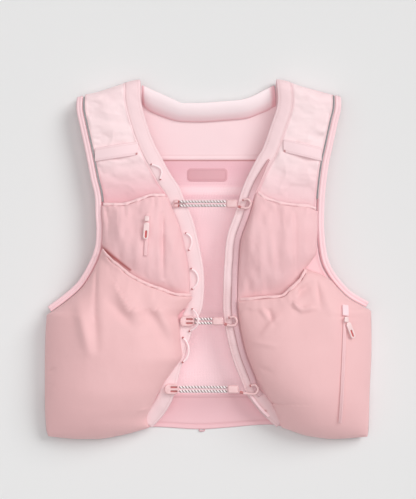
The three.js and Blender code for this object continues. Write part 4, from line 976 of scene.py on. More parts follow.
def swept(centres: Grid, across: Grid, up: Grid, section: Grid, loop: bool = False,
          mark: Grid | None = None) -> Body:
    """A section carried along a line.

    Args:
        centres: points of the line.
        across: direction of the section's first axis at each.
        up: direction of its second axis.
        section: the section's corners, one outline or one for each point.
        loop: whether the line closes on itself.
        mark: share of the second colour for each corner, as the section.

    Returns:
        The closed body.
    """
    n = len(centres)
    section = np.broadcast_to(np.asarray(section, float), (n, *np.shape(section)[-2:]))
    sides = section.shape[1]
    points = centres[:, None] + across[:, None] * section[..., :1] + up[:, None] * section[..., 1:]
    faces = lattice(n + (1 if loop else 0), sides, wrap=True)
    flat_points = points.reshape(-1, 3)
    total = len(flat_points)
    along = np.concatenate([[0], np.cumsum(np.linalg.norm(np.diff(centres, axis=0), axis=1))])
    weave = np.zeros((n, sides, 3))
    weave[..., 0] = np.arange(sides) / sides
    weave[..., 1] = along[:, None]
    marks = np.zeros((n, sides)) if mark is None else np.broadcast_to(np.asarray(mark, float), (n, sides))
    weave, marks = weave.reshape(-1, 3), marks.reshape(-1)
    if loop:
        faces = [tuple(i % total for i in f) for f in faces]
        return Body(flat_points, faces, weave, np.array(marks)).outward()
    ends = np.stack([centres[0], centres[-1]])
    for i in range(sides):
        j = (i + 1) % sides
        faces.append((total, j, i))
        faces.append((total + 1, total - sides + i, total - sides + j))
    return Body(np.vstack([flat_points, ends]), faces, np.vstack([weave, weave[:1], weave[-1:]]),
                np.concatenate([marks, marks[:1], marks[-1:]])).outward()


def frames_along(line: Grid) -> tuple[Grid, Grid]:
    """Across and up directions that stay square to a line, the second as near as can be to +Z."""
    along = unit(np.gradient(line, axis=0))
    across = unit(np.cross(along, (0.0, 0.0, 1.0)))
    return across, np.cross(across, along)


def ring_section(radius: float, sides: int = 12, flat: float = 1.0) -> Grid:
    """A round or flattened outline."""
    turn = np.linspace(0, 2 * np.pi, sides, endpoint=False) - np.pi / 2
    return np.stack([radius * np.cos(turn), radius * flat * np.sin(turn)], -1)


def cord(points: Sequence[Sequence[float]], radius: float, steps: int = 40, sides: int = 12,
         mark: Grid | None = None) -> Body:
    """A round cord through points, with rounded ends.

    Args:
        points: the places it passes.
        radius: its radius.
        steps: how finely it is divided.
        sides: corners of its section.
        mark: share of the second colour, for each corner of the section or each point.

    Returns:
        The closed body.
    """
    t = np.linspace(0, 1, steps + 1)
    path = Path(points)
    line = path.at(t)
    ends = np.clip(np.minimum(t, 1 - t) * path.length / radius, CORD_TIP, 1)
    width = np.sqrt(1 - (1 - ends) ** 2)
    across, up = frames_along(line)
    return swept(line, across, up, ring_section(radius, sides)[None] * width[:, None, None], mark=mark)


def slab_outline(length: float, width: float, corner: float, steps: int = 6) -> list[tuple[float, float]]:
    """A rounded rectangle about the middle, long in x."""
    points = []
    for k, (sx, sy) in enumerate(((1, -1), (1, 1), (-1, 1), (-1, -1))):
        cx, cy = sx * (length / 2 - corner), sy * (width / 2 - corner)
        for n in range(steps + 1):
            a = -math.pi / 2 + (k + n / steps) * math.pi / 2
            points.append((cx + corner * math.cos(a), cy + corner * math.sin(a)))
    return points


def flat_footed(across: Grid, top: Grid, foot: float) -> Grid:
    """An outline with a shaped top over a flat foot."""
    under = np.stack([across[-2:0:-1], np.full(len(across) - 2, foot)], -1)
    return np.concatenate([np.stack([across, top], -1), under])


def shown(name: str, data: bpy.types.ID) -> bpy.types.Object:
    """A new object of the scene."""
    made = bpy.data.objects.new(name, data)
    bpy.context.scene.collection.objects.link(made)
    return made


def plate(outlines: Sequence[Sequence[tuple[float, float]]], thick: float, bevel: float) -> Body:
    """A plate with rounded edges: its outline first, then its holes."""
    curve = bpy.data.curves.new("plate", "CURVE")
    curve.dimensions = "2D"
    curve.fill_mode = "BOTH"
    curve.extrude = thick / 2 - bevel
    curve.bevel_depth = bevel
    curve.bevel_resolution = 2
    curve.offset = -bevel
    for outline in outlines:
        spline = curve.splines.new("POLY")
        spline.points.add(len(outline) - 1)
        spline.use_cyclic_u = True
        for point, (x, y) in zip(spline.points, outline):
            point.co = (x, y, 0, 1)
    holder = shown("plate", curve)
    mesh = bpy.data.meshes.new_from_object(holder.evaluated_get(bpy.context.evaluated_depsgraph_get()))
    points = np.array([v.co for v in mesh.vertices])
    faces = [tuple(p.vertices) for p in mesh.polygons]
    bpy.data.objects.remove(holder)
    bpy.data.curves.remove(curve)
    bpy.data.meshes.remove(mesh)
    keys, index = np.unique(np.round(points, 4), axis=0, return_inverse=True)
    index = np.asarray(index).reshape(-1)
    faces = [tuple(dict.fromkeys(int(index[i]) for i in f)) for f in faces]
    faces = [f for f in faces if len(f) > 2]
    weave = np.column_stack([keys[:, 0], keys[:, 1], np.zeros(len(keys))])
    return Body(keys, faces, weave, np.zeros(len(keys)))


def placed(body: Body, centre: Sequence[float], x_axis: Sequence[float] = (1, 0, 0),
           y_axis: Sequence[float] = (0, 1, 0)) -> Body:
    """A body moved so that its own x and y lie along two directions."""
    x, y = unit(np.asarray(x_axis, float)), unit(np.asarray(y_axis, float))
    body.points = np.asarray(centre, float) + body.points @ np.stack([x, y, np.cross(x, y)])
    return body


@dataclass(frozen=True)
class Cut:
    """A cloth as it was cut: its width, length and area when flat, in metres, and how it is held."""

    width: float
    length: float
    area: float
    held: str
    rests_on: tuple[str, ...] = ()


CUTS = {
    "back": Cut(0.395, 0.285, 0.0905, "laid"),
    "yoke": Cut(0.305, 0.105, 0.0205, "laid"),
    "hem_band": Cut(0.392, 0.054, 0.0180, "laid"),
    "panel_left": Cut(0.175, 0.420, 0.0425, "laid", ("back",)),
    "panel_right": Cut(0.165, 0.420, 0.0405, "laid", ("back",)),
    "chest_pocket_left": Cut(0.115, 0.145, 0.0131, "gathered", ("panel_left",)),
    "chest_pocket_right": Cut(0.105, 0.148, 0.0118, "gathered", ("panel_right",)),
    "lower_pocket_left": Cut(0.215, 0.255, 0.0352, "gathered", ("panel_left",)),
    "lower_pocket_right": Cut(0.195, 0.235, 0.0316, "gathered", ("panel_right",)),
}


@dataclass
class Workshop:
    """Turns bodies into pieces of the scene, at the place that the frame gives."""

    form: VestForm
    label_place: tuple[float, float] = (-0.005, 0.471)
    shift: Grid = field(default_factory=lambda: np.zeros(3))
    names: list[str] = field(default_factory=list)

    def __post_init__(self) -> None:
        """Finds where the frame's origin lies in the form's own plan, from the label's place."""
        low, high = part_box("blank_label")
        middle = np.array((low + high) / 2) / MM
        out, up = self.label_place
        self.shift = np.array([middle[0] - out * self.form.half_width,
                               middle[1] - up * self.form.half_length, 0.0])

    def piece(self, name: str, body: Body, finish: ClothFinish | TrimFinish | BraidFinish,
              *nodes: str) -> bpy.types.Object:
        """Makes a piece that stands for CAD nodes.

        Args:
            name: the piece's name.
            body: its shape, in millimetres.
            finish: what it is made of.
            nodes: the CAD nodes that it stands for.

        Returns:
            The new object.
        """
        mesh = bpy.data.meshes.new(name)
        mesh.from_pydata(((body.points + self.shift) * MM).tolist(), [], body.faces)
        mesh.polygons.foreach_set("use_smooth", [True] * len(body.faces))
        weave = mesh.attributes.new("weave", "FLOAT_VECTOR", "POINT")
        weave.data.foreach_set("vector", body.weave.astype(np.float32).reshape(-1))
        mark = mesh.attributes.new("mark", "FLOAT", "POINT")
        mark.data.foreach_set("value", body.mark.astype(np.float32))
        mesh.materials.append(Finishes.of(finish))
        mesh.update()
        piece = shown(name, mesh)
        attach(piece, "root")
        if nodes:
            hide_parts(*nodes)
        if name in CUTS:
            cut = CUTS[name]
            list(cut.rests_on)
        self.names.append(name)
        log.info("made %s: %d points", name, len(body.points))
        return piece

    def place_of(self, node: str) -> tuple[Grid, Grid]:
        """Lowest and highest corner of a CAD node, in the form's millimetres."""
        low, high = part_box(node)
        return np.array(low) / MM - self.shift, np.array(high) / MM - self.shift

    def middle_of(self, node: str) -> Grid:
        """Middle of a CAD node, in the form's millimetres."""
        low, high = self.place_of(node)
        return (low + high) / 2


def spread(rows: int, columns: int, bunch: bool = False) -> tuple[Grid, Grid]:
    """Shares across and down for a grid, closer at both sides if bunched."""
    u = np.linspace(0, 1, columns)
    if bunch:
        u = (1 - np.cos(np.pi * u)) / 2
    return np.meshgrid(u, np.linspace(0, 1, rows))


def raised(points: Grid, relief: Grid) -> Grid:
    """Points lifted by a relief."""
    lifted = points.copy()
    lifted[..., 2] += relief
    return lifted


@dataclass
class Front:
    """One front: its panel, the tapes round it, its piping and its keeper strap."""

    shop: Workshop
    side: Side
    panel_top: float = 0.93
    panel_foot: float = -0.945
    piping_start: float = 0.004
    piping_length: float = 0.46
    piping_rise: float = 1.0
    keeper_width: float = 14.7
    keeper_thick: float = 1.4
    keeper_lift: float = 1.8
    slit_start: tuple[float, float] = (51.4, -161.4)
    slit_end: tuple[float, float] = (60.5, -176.5)
    hole: tuple[float, float] = (67.5, -181.5)
    edge_shade: float = 0.14
    panel_bunch: float = 1.25
    panel_width: float = 60
    level_from: float = 0.3
    passes: int = 8
    seam_rate: float = 55 / 9
    seam_pucker = (0.5, 0.1, 3.4)
    open_from = (0.3, 0.42)
    cover_fade = (0.28, 0.62)
    under_pocket: float = 0.12
    crumple_gain: float = 1.9
    seam_shade_spread = (1.2, 0.9)
    seam_shade: float = 0.35
    tape_crown: float = 0.55
    stitch_rise: float = 0.5
    shade_from = (-45, -20)
    slit_spread: float = 0.9
    hole_size = (2.2, 1.6)
    end_shadow: float = 0.85
    band_sides: int = 13
    groove_and_edge_shade = {6: 0.18, 12: 0.2}
    pale_edge: float = 0.55
    end_shadow_dot = ((0.97, 0.025), (0.93, 0.09))
    panel_grid = (260, 76)
    binding_grid = (620, 15)
    keeper_grid = (20, 90)
    steps = 260
    seeds = {Side.LEFT: 3, Side.RIGHT: 4}
    binding_seed = 9
    crumples = ((0.75, 17, 0.6, 0), (0.22, 7, 0.6, 40))
    creases = (26, 0.8)
    crease_depth = 0.45
    crumple_range = (-0.9, 2.2)
    cover = {Side.LEFT: 0.95, Side.RIGHT: 0.5}
    tape_waves = ((0.35, 24, 1, 0), (0.3, 8, 1, 0))
    tape_seams = ((0.13, 0.05, -0.3), (0.88, 0.05, -0.35))
    tape_shade = ((0.13, 0.05, 0.12), (0.97, 0.05, 0.2))
    stitch_row = (0.2, 0.04)
    stitches = 150
    keeper_seams = ((0.1, 0.06, 1), (0.9, 0.06, 1))

    def build(self) -> None:
        """Makes the pieces of this front."""
        for make in (self.panel, self.binding, self.band, self.piping, self.keeper):
            make()

    def panel_plan(self, u: Grid, v: Grid) -> Grid:
        """Plan points of the panel at shares across and down."""
        form = self.shop.form
        level = between(self.panel_top, self.panel_foot, v) * form.half_length
        fixed = ease(v, 0, self.level_from)
        drop = v * (self.panel_top - self.panel_foot) * form.half_length
        arm = form.band_width + 2 * form.piping_radius + 2 * form.seam_gap
        x, y = u, level
        for _ in range(self.passes):
            inner = form.front_out(self.side, y, form.binding_width + 2 * form.seam_gap)
            outer = form.side_out(self.side, y, arm, form.layer + form.seam_gap)
            x = self.side.sign * between(inner, outer, u)
            y = (form.shoulder_top(np.abs(x)) - drop) * (1 - fixed) + level * fixed
        return np.stack([x, y], -1)

    def panel(self) -> None:
        """The crinkled shoulder panel, smooth where pockets cover it."""
        form, side = self.shop.form, self.side
        u, v = spread(*self.panel_grid)
        v = v**self.panel_bunch
        plan = self.panel_plan(u, v)
        x, y = plan[..., 0], plan[..., 1]
        noise = Crumple(self.seeds[side])
        relief = noise.layers(x, y, self.crumples) + self.crease_depth * noise.creases(x, y, *self.creases)
        depth, squeeze, wave = self.seam_pucker
        relief += depth * np.exp(-(1 - u) * self.seam_rate) * noise.at(x * squeeze, y, wave)
        up = y / form.half_length
        edge = np.minimum(u, 1 - u) * self.panel_width
        fade = ease(edge, 0, 5) * between(self.under_pocket, 1, ease(up, *self.open_from)) * ease(v, 0, 0.02)
        relief = np.clip(relief * self.crumple_gain, *self.crumple_range) * fade
        # Painted shade along the panel's edges, where it meets the binding and the band
        mark = self.seam_shade * bell(edge, *self.seam_shade_spread)
        # The panel is pinker towards its foot, more on the left front
        mark += self.cover[side] * (1 - ease(up, *self.cover_fade))
        body = wall(raised(form.on_front(side, plan), relief), form.cloth, mark)
        self.shop.piece(f"panel_{side.value}", body, Finishes.woven, f"front_panel_{side.value}")

    def binding(self) -> None:
        """The smooth tape along the front opening, with two grooves and a row of stitches."""
        form, side = self.shop.form, self.side
        u, v = spread(*self.binding_grid)
        plan = form.beside("front", side, v, form.binding_width * u)
        stitch = bell(u, *self.stitch_row) * np.maximum(0, np.sin(2 * np.pi * v * self.stitches))
        x, y = plan[..., 0], plan[..., 1]
        relief = Crumple(self.binding_seed).layers(x, y, self.tape_waves)
        relief += self.tape_crown * (1 - (2 * u - 1) ** 2)
        relief += lines(u, self.tape_seams) + self.stitch_rise * stitch
        mark = lines(u, self.tape_shade)
        if side is Side.RIGHT:
            shade = self.edge_shade * (1 - ease(y, *self.shade_from))
            mark = np.clip(mark + self.end_shadow_marks(x, y) + shade, 0, 1)
        body = wall(raised(form.on_front(side, plan), relief * ease(v, 0, 0.01)), form.cloth, mark)
        self.shop.piece(f"binding_{side.value}", body, Finishes.binding, f"front_binding_{side.value}")

    def end_shadow_marks(self, x: Grid, y: Grid) -> Grid:
        """Painted shade: the dark slit beside the rail's end loop and the small hole below it."""
        slit = bell(off_line(x, y, self.slit_start, self.slit_end)[0], 0, self.slit_spread)
        hole = bell(x, self.hole[0], self.hole_size[0]) * bell(y, self.hole[1], self.hole_size[1])
        return self.end_shadow * np.maximum(slit, hole)

    def band(self) -> None:
        """The armhole's band, front and back, with a groove between its two ridges."""
        form, side = self.shop.form, self.side
        t = np.linspace(0, 1, self.steps)
        outer, inner = (form.beside("arm", side, t, inset) for inset in (0.0, form.band_width))
        half, thick = form.band_width / 2, form.band_thick / 2
        a = np.linspace(-half, half, self.band_sides)
        ridges = 0.72 + 0.3 * np.sin(np.pi * (a + half) / half) ** 2
        top = thick * ridges * np.sqrt(1 - (a / half) ** 6 * 0.7)
        section = flat_footed(a, top, -thick)
        # Painted shade in the groove between the two ridges and along one edge
        mark = np.zeros(len(section))
        for corner, share in self.groove_and_edge_shade.items():
            mark[corner] = share
        runs = []
        on_back = (form.band_thick - form.cloth) / 2
        for lay, lift in ((lambda p: form.on_front(side, p), 0.0), (form.on_back, on_back)):
            out, ins = lay(outer), lay(inner)
            across = unit(ins - out)
            middle = (out + ins) / 2 + np.array([0, 0, lift])
            up = upward(np.cross(np.gradient(middle, axis=0), across))
            runs.append(swept(middle, across, up, section, mark=mark))
        self.shop.piece(f"arm_band_{side.value}", Body.joined(runs), Finishes.tape,
                        f"arm_binding_{side.value}")

    def piping(self) -> None:
        """Reflective piping, with a pale edge on the arm's side."""
        form, side = self.shop.form, self.side
        share = self.piping_start + self.piping_length * np.linspace(0, 1, 40)
        plan = form.beside("arm", side, share, form.band_width + form.seam_gap + form.piping_radius)
        mark = (ring_section(1.0)[:, 0] * -side.sign > self.pale_edge).astype(float)
        line = form.on_front(side, plan, self.piping_rise)
        body = cord(line, form.piping_radius, self.steps, mark=mark)
        self.shop.piece(f"piping_{side.value}", body, Finishes.piping, f"piping_{side.value}")

    def keeper(self) -> None:
        """The flat strap across the shoulder, with a painted shadow at its inner end and painted shade in its
        seam grooves.
        """
        form, side = self.shop.form, self.side
        low, high = KEEPER[side]
        u, v = spread(*self.keeper_grid)
        x = side.sign * between(low[0], high[0], u) * form.half_width
        y = between(low[1], high[1], u) * form.half_length + (0.5 - v) * self.keeper_width
        lift = form.layer + self.keeper_lift * np.sin(np.pi * u)
        edges = lines(v, self.keeper_seams)
        relief = 0.25 * (1 - (2 * v - 1) ** 4) - 0.2 * edges
        dot = bell(u, *self.end_shadow_dot[0]) * bell(v, *self.end_shadow_dot[1])
        points = raised(form.on_front(side, np.stack([x, y], -1), lift), relief)
        body = wall(points, self.keeper_thick, np.clip(0.12 * edges + dot, 0, 1))
        self.shop.piece(f"keeper_{side.value}", body, Finishes.facing, f"keeper_strap_{side.value}")


# Ends of the painted shadow of the opening over the left lower pocket, in millimetres
SLIT_LINE = ((-126.5, 14.0), (-92.0, -12.5))
# How strongly the creases stand out
FOLD_DEPTH = {Side.LEFT: 1.5, Side.RIGHT: 1.125}
# Rows of (strength, wave, stretch, shift along x)
CHEST_WAVES = ((1.9, 17, 2.6, 0), (1.0, 7, 2.2, 0))


@dataclass(frozen=True)
class PocketSpec:
    """One kind of pocket: its grid, where its rim starts, its noise's seed and its cloths."""

    kind: str
    grid: tuple[int, int]
    rim_from: float
    seed: int
    finish: ClothFinish
    elastic: ClothFinish


POCKETS = (PocketSpec("chest", (140, 116), 0.1, 31, Finishes.stretch, Finishes.chest_elastic),
           PocketSpec("lower", (150, 130), 1 / 13, 37, Finishes.satin, Finishes.lower_elastic))


@dataclass
class Pocket:
    """What both kinds of pocket share: a puckered rim over a hollow wall."""

    shop: Workshop
    side: Side
    spec: PocketSpec
    pucker: float = 0.8
    pitch: float = 4.4
    rim_width: float = 4.4
    rim_steps: int = 420
    gather_seeds = {Side.LEFT: 17, Side.RIGHT: 23}
    gather_waves = ((1.3, 1, 0), (1.1, 2.6, 40))
    rim_section = (14, 0.62)
    slit_spread = (2.6, 1.4)
    side_fade = (4, 7)
    foot_fade: float = 6
    rim_fade: float = 8
    gather_fade: float = 11
    chest_gain: float = 1.5
    tuck: float = 12
    crumple_fade: float = 50

    def build(self) -> None:
        """Makes the wall and the rim."""
        self.wall()
        self.rim()

    @property
    def chest(self) -> bool:
        """Whether it is the chest pocket."""
        return self.spec.kind == "chest"

    def point(self, s: Grid, v: Grid) -> Grid:
        """Middle of the wall at shares across and down."""
        form = self.shop.form
        return (form.chest_point if self.chest else form.lower_point)(self.side, s, v)

    def gathers(self, s: Grid, width: float) -> Grid:
        """The rim's pucker waves, irregular along it."""
        noise = Crumple(self.gather_seeds[self.side])
        row = np.zeros_like(s)
        return sum(strength * noise.at(s * width, row + shift, waves * self.pitch)
                   for strength, waves, shift in self.gather_waves)

    def rim(self) -> None:
        """The gathered elastic along the mouth."""
        form = self.shop.form
        u = np.linspace(self.spec.rim_from, 1 - self.spec.rim_from, self.rim_steps)
        s = (1 - np.cos(np.pi * u)) / 2
        edge = self.point(s, np.zeros_like(s))
        down = unit(edge - self.point(s, np.full_like(s, 0.02)))
        width = float(np.sum(np.linalg.norm(np.diff(edge, axis=0), axis=1)))
        wave = self.gathers(s, width)
        up = upward(np.cross(unit(np.gradient(edge, axis=0)), down))
        rise = self.pucker * (0.2 + 0.5 * wave)
        reach = self.rim_width / 2 + form.seam_gap - 0.35 * wave
        centre = edge + down * reach[:, None] + up * rise[:, None]
        size = (0.88 + 0.14 * wave)[:, None, None]
        sides, flat = self.rim_section
        shape = ring_section(form.rim_radius, sides) * (self.rim_width / 2 / form.rim_radius, flat)
        body = swept(centre, down, up, shape[None] * size)
        name = f"{self.spec.kind}_rim_{self.side.value}"
        self.shop.piece(name, body, self.spec.elastic, name)

    def wall(self) -> None:
        """The pocket's crumpled wall."""
        form = self.shop.form
        s, v = spread(*self.spec.grid, bunch=True)
        if not self.chest:
            v = np.sin(np.pi / 2 * v)
        points = self.point(s, v)
        width = float(np.abs(points[0, -1, 0] - points[0, 0, 0]))
        middle = points[:, self.spec.grid[1] // 2, 1]
        depth = float(np.abs(middle[-1] - middle[0]))
        body = wall(raised(points, self.relief(points, s, v, width, depth)), form.cloth, self.slit(points))
        name = f"{self.spec.kind}_pocket_{self.side.value}"
        self.shop.piece(name, body, self.spec.finish, name)

    def slit(self, points: Grid) -> Grid:
        """Painted shadow of the opening that shows over the left lower pocket's rim."""
        x, y = points[..., 0], points[..., 1]
        if not self.chest or self.side is Side.RIGHT:
            return np.zeros_like(x)
        off, t = off_line(x, y, *SLIT_LINE)
        return bell(off, 0, between(*self.slit_spread, t))

    def relief(self, points: Grid, s: Grid, v: Grid, width: float, depth: float) -> Grid:
        """Puckers below the rim, folds down the wall and fine crumples."""
        form = self.shop.form
        x, y = points[..., 0], points[..., 1]
        below = v * depth
        noise = Crumple(self.spec.seed + (self.side is Side.LEFT))
        puckers = 0.3 * self.gathers(s, width) + 0.7 * noise.at(x + 9, y, 4.5, 3)
        puckers *= np.exp(-below / self.gather_fade)
        if self.chest:
            puckers *= self.chest_gain
            soft = noise.layers(x, y, CHEST_WAVES) + 0.6 * noise.creases(x, y, 24, 2.5)
            s_low = np.clip((np.abs(x) - form.lower_span(self.side, y)[0]) / 100, 0, 1)
            covered = ease(y - form.level("lower_rim", self.side, s_low), 0, self.tuck)
        else:
            reach = 3.5 + below / 9
            soft = 0.9 * noise.at(x, y, 16, 2.0) * np.exp(-below / self.crumple_fade)
            soft += 0.7 * noise.at(x, y, 30, 1.4)
            soft += 0.3 * noise.at(x, y, 9, 1.6) * np.exp(-below / reach / 6)
            covered = np.where(form.chest_lift(self.side, x, y) > 0, 0.25, 1.0)
        soft += FOLD_DEPTH[self.side] * form.folds(self.side, x, y, CREASES)
        near, far = (ease(np.minimum(s, 1 - s) * width, 0, reach) for reach in self.side_fade)
        soft *= far * ease((1 - v) * depth, 0, self.foot_fade) * ease(below, 0, self.rim_fade)
        return puckers * near + soft * covered


# Ends of the keeper straps: (out, up) by the arm, then by the front
KEEPER = {Side.LEFT: ((0.69, 0.576), (0.43, 0.612)), Side.RIGHT: ((0.69, 0.579), (0.46, 0.628))}


@dataclass
class Back:
    """The back: yoke, mesh, hem band, collar, label place and hem loop."""

    shop: Workshop
    yoke_line: float = 0.547
    band_line: float = -0.753
    neck_share: float = 0.66
    hem_share: float = 0.42
    neck_rise: float = 13
    yoke_wave: float = 22
    yoke_relief: float = 0.4
    mesh_wave: tuple[float, float] = (30, 1.5)
    mesh_relief: float = 0.35
    bunch: float = 0.6
    smooth_from: float = 72
    label_size: tuple[float, float, float] = (48, 15.6, 1)
    yoke_grid = (70, 220)
    collar_grid = (22, 240)
    columns = 160
    mesh_rows = 170
    hem_rows = 40
    seeds = {"yoke": 5, "mesh": 6}
    strip_middle: float = 82
    strip_half: float = 5.5
    strip_fade = (88, 112)
    yoke_hem = ((0.93, 0.05, 1.1),)
    collar_seam = ((0.14, 0.05, -0.3),)
    collar_shade = ((0.02, 0.06, 0.4),)
    hem_seams = ((0.04, 0.035, 0.6), (0.87, 0.03, -0.3))
    hem_shade = ((0.87, 0.03, 0.2), (0.1, 0.02, 0.2))
    yoke_shade = ((0.86, 0.02, 0.12), (1, 0.032, 0.95))

    def build(self) -> None:
        """Makes the pieces of the back."""
        for make in (self.yoke, self.mesh, self.hem_band, self.collar, self.label, self.loop):
            make()

    @property
    def inset(self) -> float:
        """Room that the back's cloth leaves for the armhole bands."""
        return self.shop.form.band_width + 3 * self.shop.form.seam_gap

    def neck_at(self, t: Grid, column: int, drop: float = 0.0) -> Grid:
        """Plan points of the collar's outer (0) or lower (2) edge."""
        form = self.shop.form
        keys = range(len(NECK))
        k = np.asarray(t) * (len(NECK) - 1)
        x = Profile(keys, [r[column] for r in NECK])(k) * form.half_width
        y = Profile(keys, [r[column + 1] for r in NECK])(k) * form.half_length - drop
        return np.stack([x, y], -1)

    def yoke(self) -> None:
        """The yoke with its shoulder wings and raised hem."""
        form = self.shop.form
        u, v = spread(*self.yoke_grid)
        sign, wing = np.where(u < 0.5, -1.0, 1.0), np.abs(2 * u - 1)
        t = 0.5 + 0.5 * sign * np.minimum(wing / self.neck_share, 1)
        inner = self.neck_at(t, 2, form.seam_gap)
        rest = np.clip((wing - self.neck_share) / (1 - self.neck_share), 0, 1)[..., None]
        shoulder_x = FRONT_EDGE[Side.LEFT][0][0] * form.half_width
        top = np.stack([sign * shoulder_x, np.full_like(u, form.shoulder_top(shoulder_x))], -1)
        inner = between(inner, top, rest)
        seam = self.yoke_line * form.half_length + form.seam_gap
        climb = np.clip((wing - self.hem_share) / (1 - self.hem_share), 0, 1)
        outer = np.zeros_like(inner)
        for side in Side:
            corner = form.beside("arm", side, 0.0, self.inset)
            y = between(seam, corner[1], climb)
            x = side.sign * form.side_out(side, y, self.inset, 0)
            x = x * np.where(climb > 0, 1, wing / self.hem_share)
            mine = sign == side.sign
            outer[mine] = np.stack([x, y], -1)[mine]
        plan = between(inner, outer, v[..., None])
        waves = Crumple(self.seeds["yoke"]).at(plan[..., 0], plan[..., 1], self.yoke_wave)
        relief = self.yoke_relief * waves * ease(v, 0, 0.1) * ease(1 - v, 0, 0.1)
        relief = np.maximum(relief, 0) + lines(v, self.yoke_hem)
        body = wall(raised(form.on_back(plan), relief), form.cloth, lines(v, self.yoke_shade))
        self.shop.piece("yoke", body, Finishes.facing, "back_yoke")

    def sheet(self, rows: int, top: float, bottom: Callable[[Grid], Grid]) -> tuple[Grid, Grid]:
        """Points on the back between two levels, closer in the middle."""
        form = self.shop.form
        u, v = spread(rows, self.columns)
        s = 2 * u - 1
        s = s * between(1, s * s, self.bunch)
        y = between(top, bottom(s), v)
        left, right = (form.side_out(side, y, self.inset, 0) for side in Side)
        out = np.where(s < 0, left, right)
        return form.on_back(np.stack([s * out, y], -1)), v

    def mesh(self) -> None:
        """The perforated back with its smooth strip at the top."""
        form = self.shop.form
        foot, top = self.band_line * form.half_length, self.yoke_line * form.half_length
        points, _ = self.sheet(self.mesh_rows, top, lambda s: np.full_like(s, foot))
        x, y = points[..., 0], points[..., 1]
        smooth = ease(y, self.smooth_from - 0.8, self.smooth_from + 0.8)
        strip = bell(y, self.strip_middle, self.strip_half, 4)
        relief = 0.5 * bell(y, self.smooth_from, 1) + 0.3 * smooth + 0.35 * strip
        waves = Crumple(self.seeds["mesh"]).at(x, y, *self.mesh_wave)
        relief += self.mesh_relief * np.maximum(waves, 0)
        # Painted shade on the smooth strip under the yoke's hem, left off the lit fold in its middle
        under_yoke_shade = smooth * (1 - strip) * between(0.6, 1, ease(y, *self.strip_fade))
        self.shop.piece("back", wall(raised(points, relief), form.cloth, 0.95 * under_yoke_shade),
                        Finishes.knit, "back_panel")

    def hem_band(self) -> None:
        """The smooth band along the hem, between its seam and its stitched edge."""
        form = self.shop.form
        hem = profile(BACK_HEM)
        top = self.band_line * form.half_length - form.seam_gap
        points, v = self.sheet(self.hem_rows, top, lambda s: hem(s) * form.half_length)
        relief = lines(v, self.hem_seams) + 0.3 * np.sin(np.pi * v)
        body = wall(raised(points, relief), form.cloth, lines(v, self.hem_shade))
        self.shop.piece("hem_band", body, Finishes.band, "lower_back_band")

    def collar(self) -> None:
        """The collar round the back neck, standing up and rounded over."""
        form = self.shop.form
        u, v = spread(*self.collar_grid)
        low, high = self.neck_at(u, 2), self.neck_at(u, 0)
        plan = between(low, high, v[..., None])
        base = form.back_height(low[..., 0], low[..., 1]) + form.layer
        z = base + (self.neck_rise - form.layer) * np.sin(np.pi / 2 * v)
        relief = 0.6 * np.sin(np.pi * v) + lines(v, self.collar_seam)
        # Painted shade: pinker over the collar's lower half and along its foot, and at both ends
        mark = 0.45 * (1 - ease(v, 0.02, 0.5)) + lines(v, self.collar_shade)
        mark = np.clip(mark + 0.9 * (1 - ease(np.minimum(u, 1 - u), 0.01, 0.05)), 0, 1)
        body = wall(risen(plan, z + relief), form.cloth, mark)
        self.shop.piece("collar", body, Finishes.collar, "neck_band")

    def label(self) -> None:
        """The bare label place, with a sewn edge."""
        length, width, thick = self.label_size
        centre = self.shop.middle_of("blank_label")
        body = placed(plate([slab_outline(length, width, 4)], thick, 0.35), centre)
        edge = np.array(slab_outline(length - 4, width - 4, 2.6))
        ring = np.column_stack([edge, np.zeros(len(edge))]) + centre + np.array([0, 0, thick / 2])
        across, up = frames_along(np.vstack([ring, ring[:1]]))
        sewn = swept(ring, across[:-1], up[:-1], ring_section(0.3, 8, 0.7), loop=True, mark=np.full(8, 0.7))
        self.shop.piece("label", Body.joined([body, sewn]), Finishes.label, "blank_label")

    def loop(self) -> None:
        """The small loop at the middle of the hem."""
        low, high = self.shop.place_of("hem_loop")
        middle, radius = (low + high) / 2, (high[2] - low[2]) / 2
        top, foot = high[1] - radius, low[1] + radius
        points = [(low[0], top, middle[2]), (low[0] + 0.8, foot, middle[2]), (high[0] - 0.8, foot, middle[2]),
                  (high[0], top, middle[2])]
        self.shop.piece("hem_loop_cord", cord(points, radius, 30), Finishes.rail, "hem_loop")


@dataclass(frozen=True)
class ClosureSpec:
    """A closure: its height as a share, and whether a clip holds its cords or two sockets do."""

    name: str
    up: float
    clip: bool


CLOSURES = (ClosureSpec("top", 0.306, False), ClosureSpec("middle", -0.342, True),
            ClosureSpec("bottom", -0.719, True))


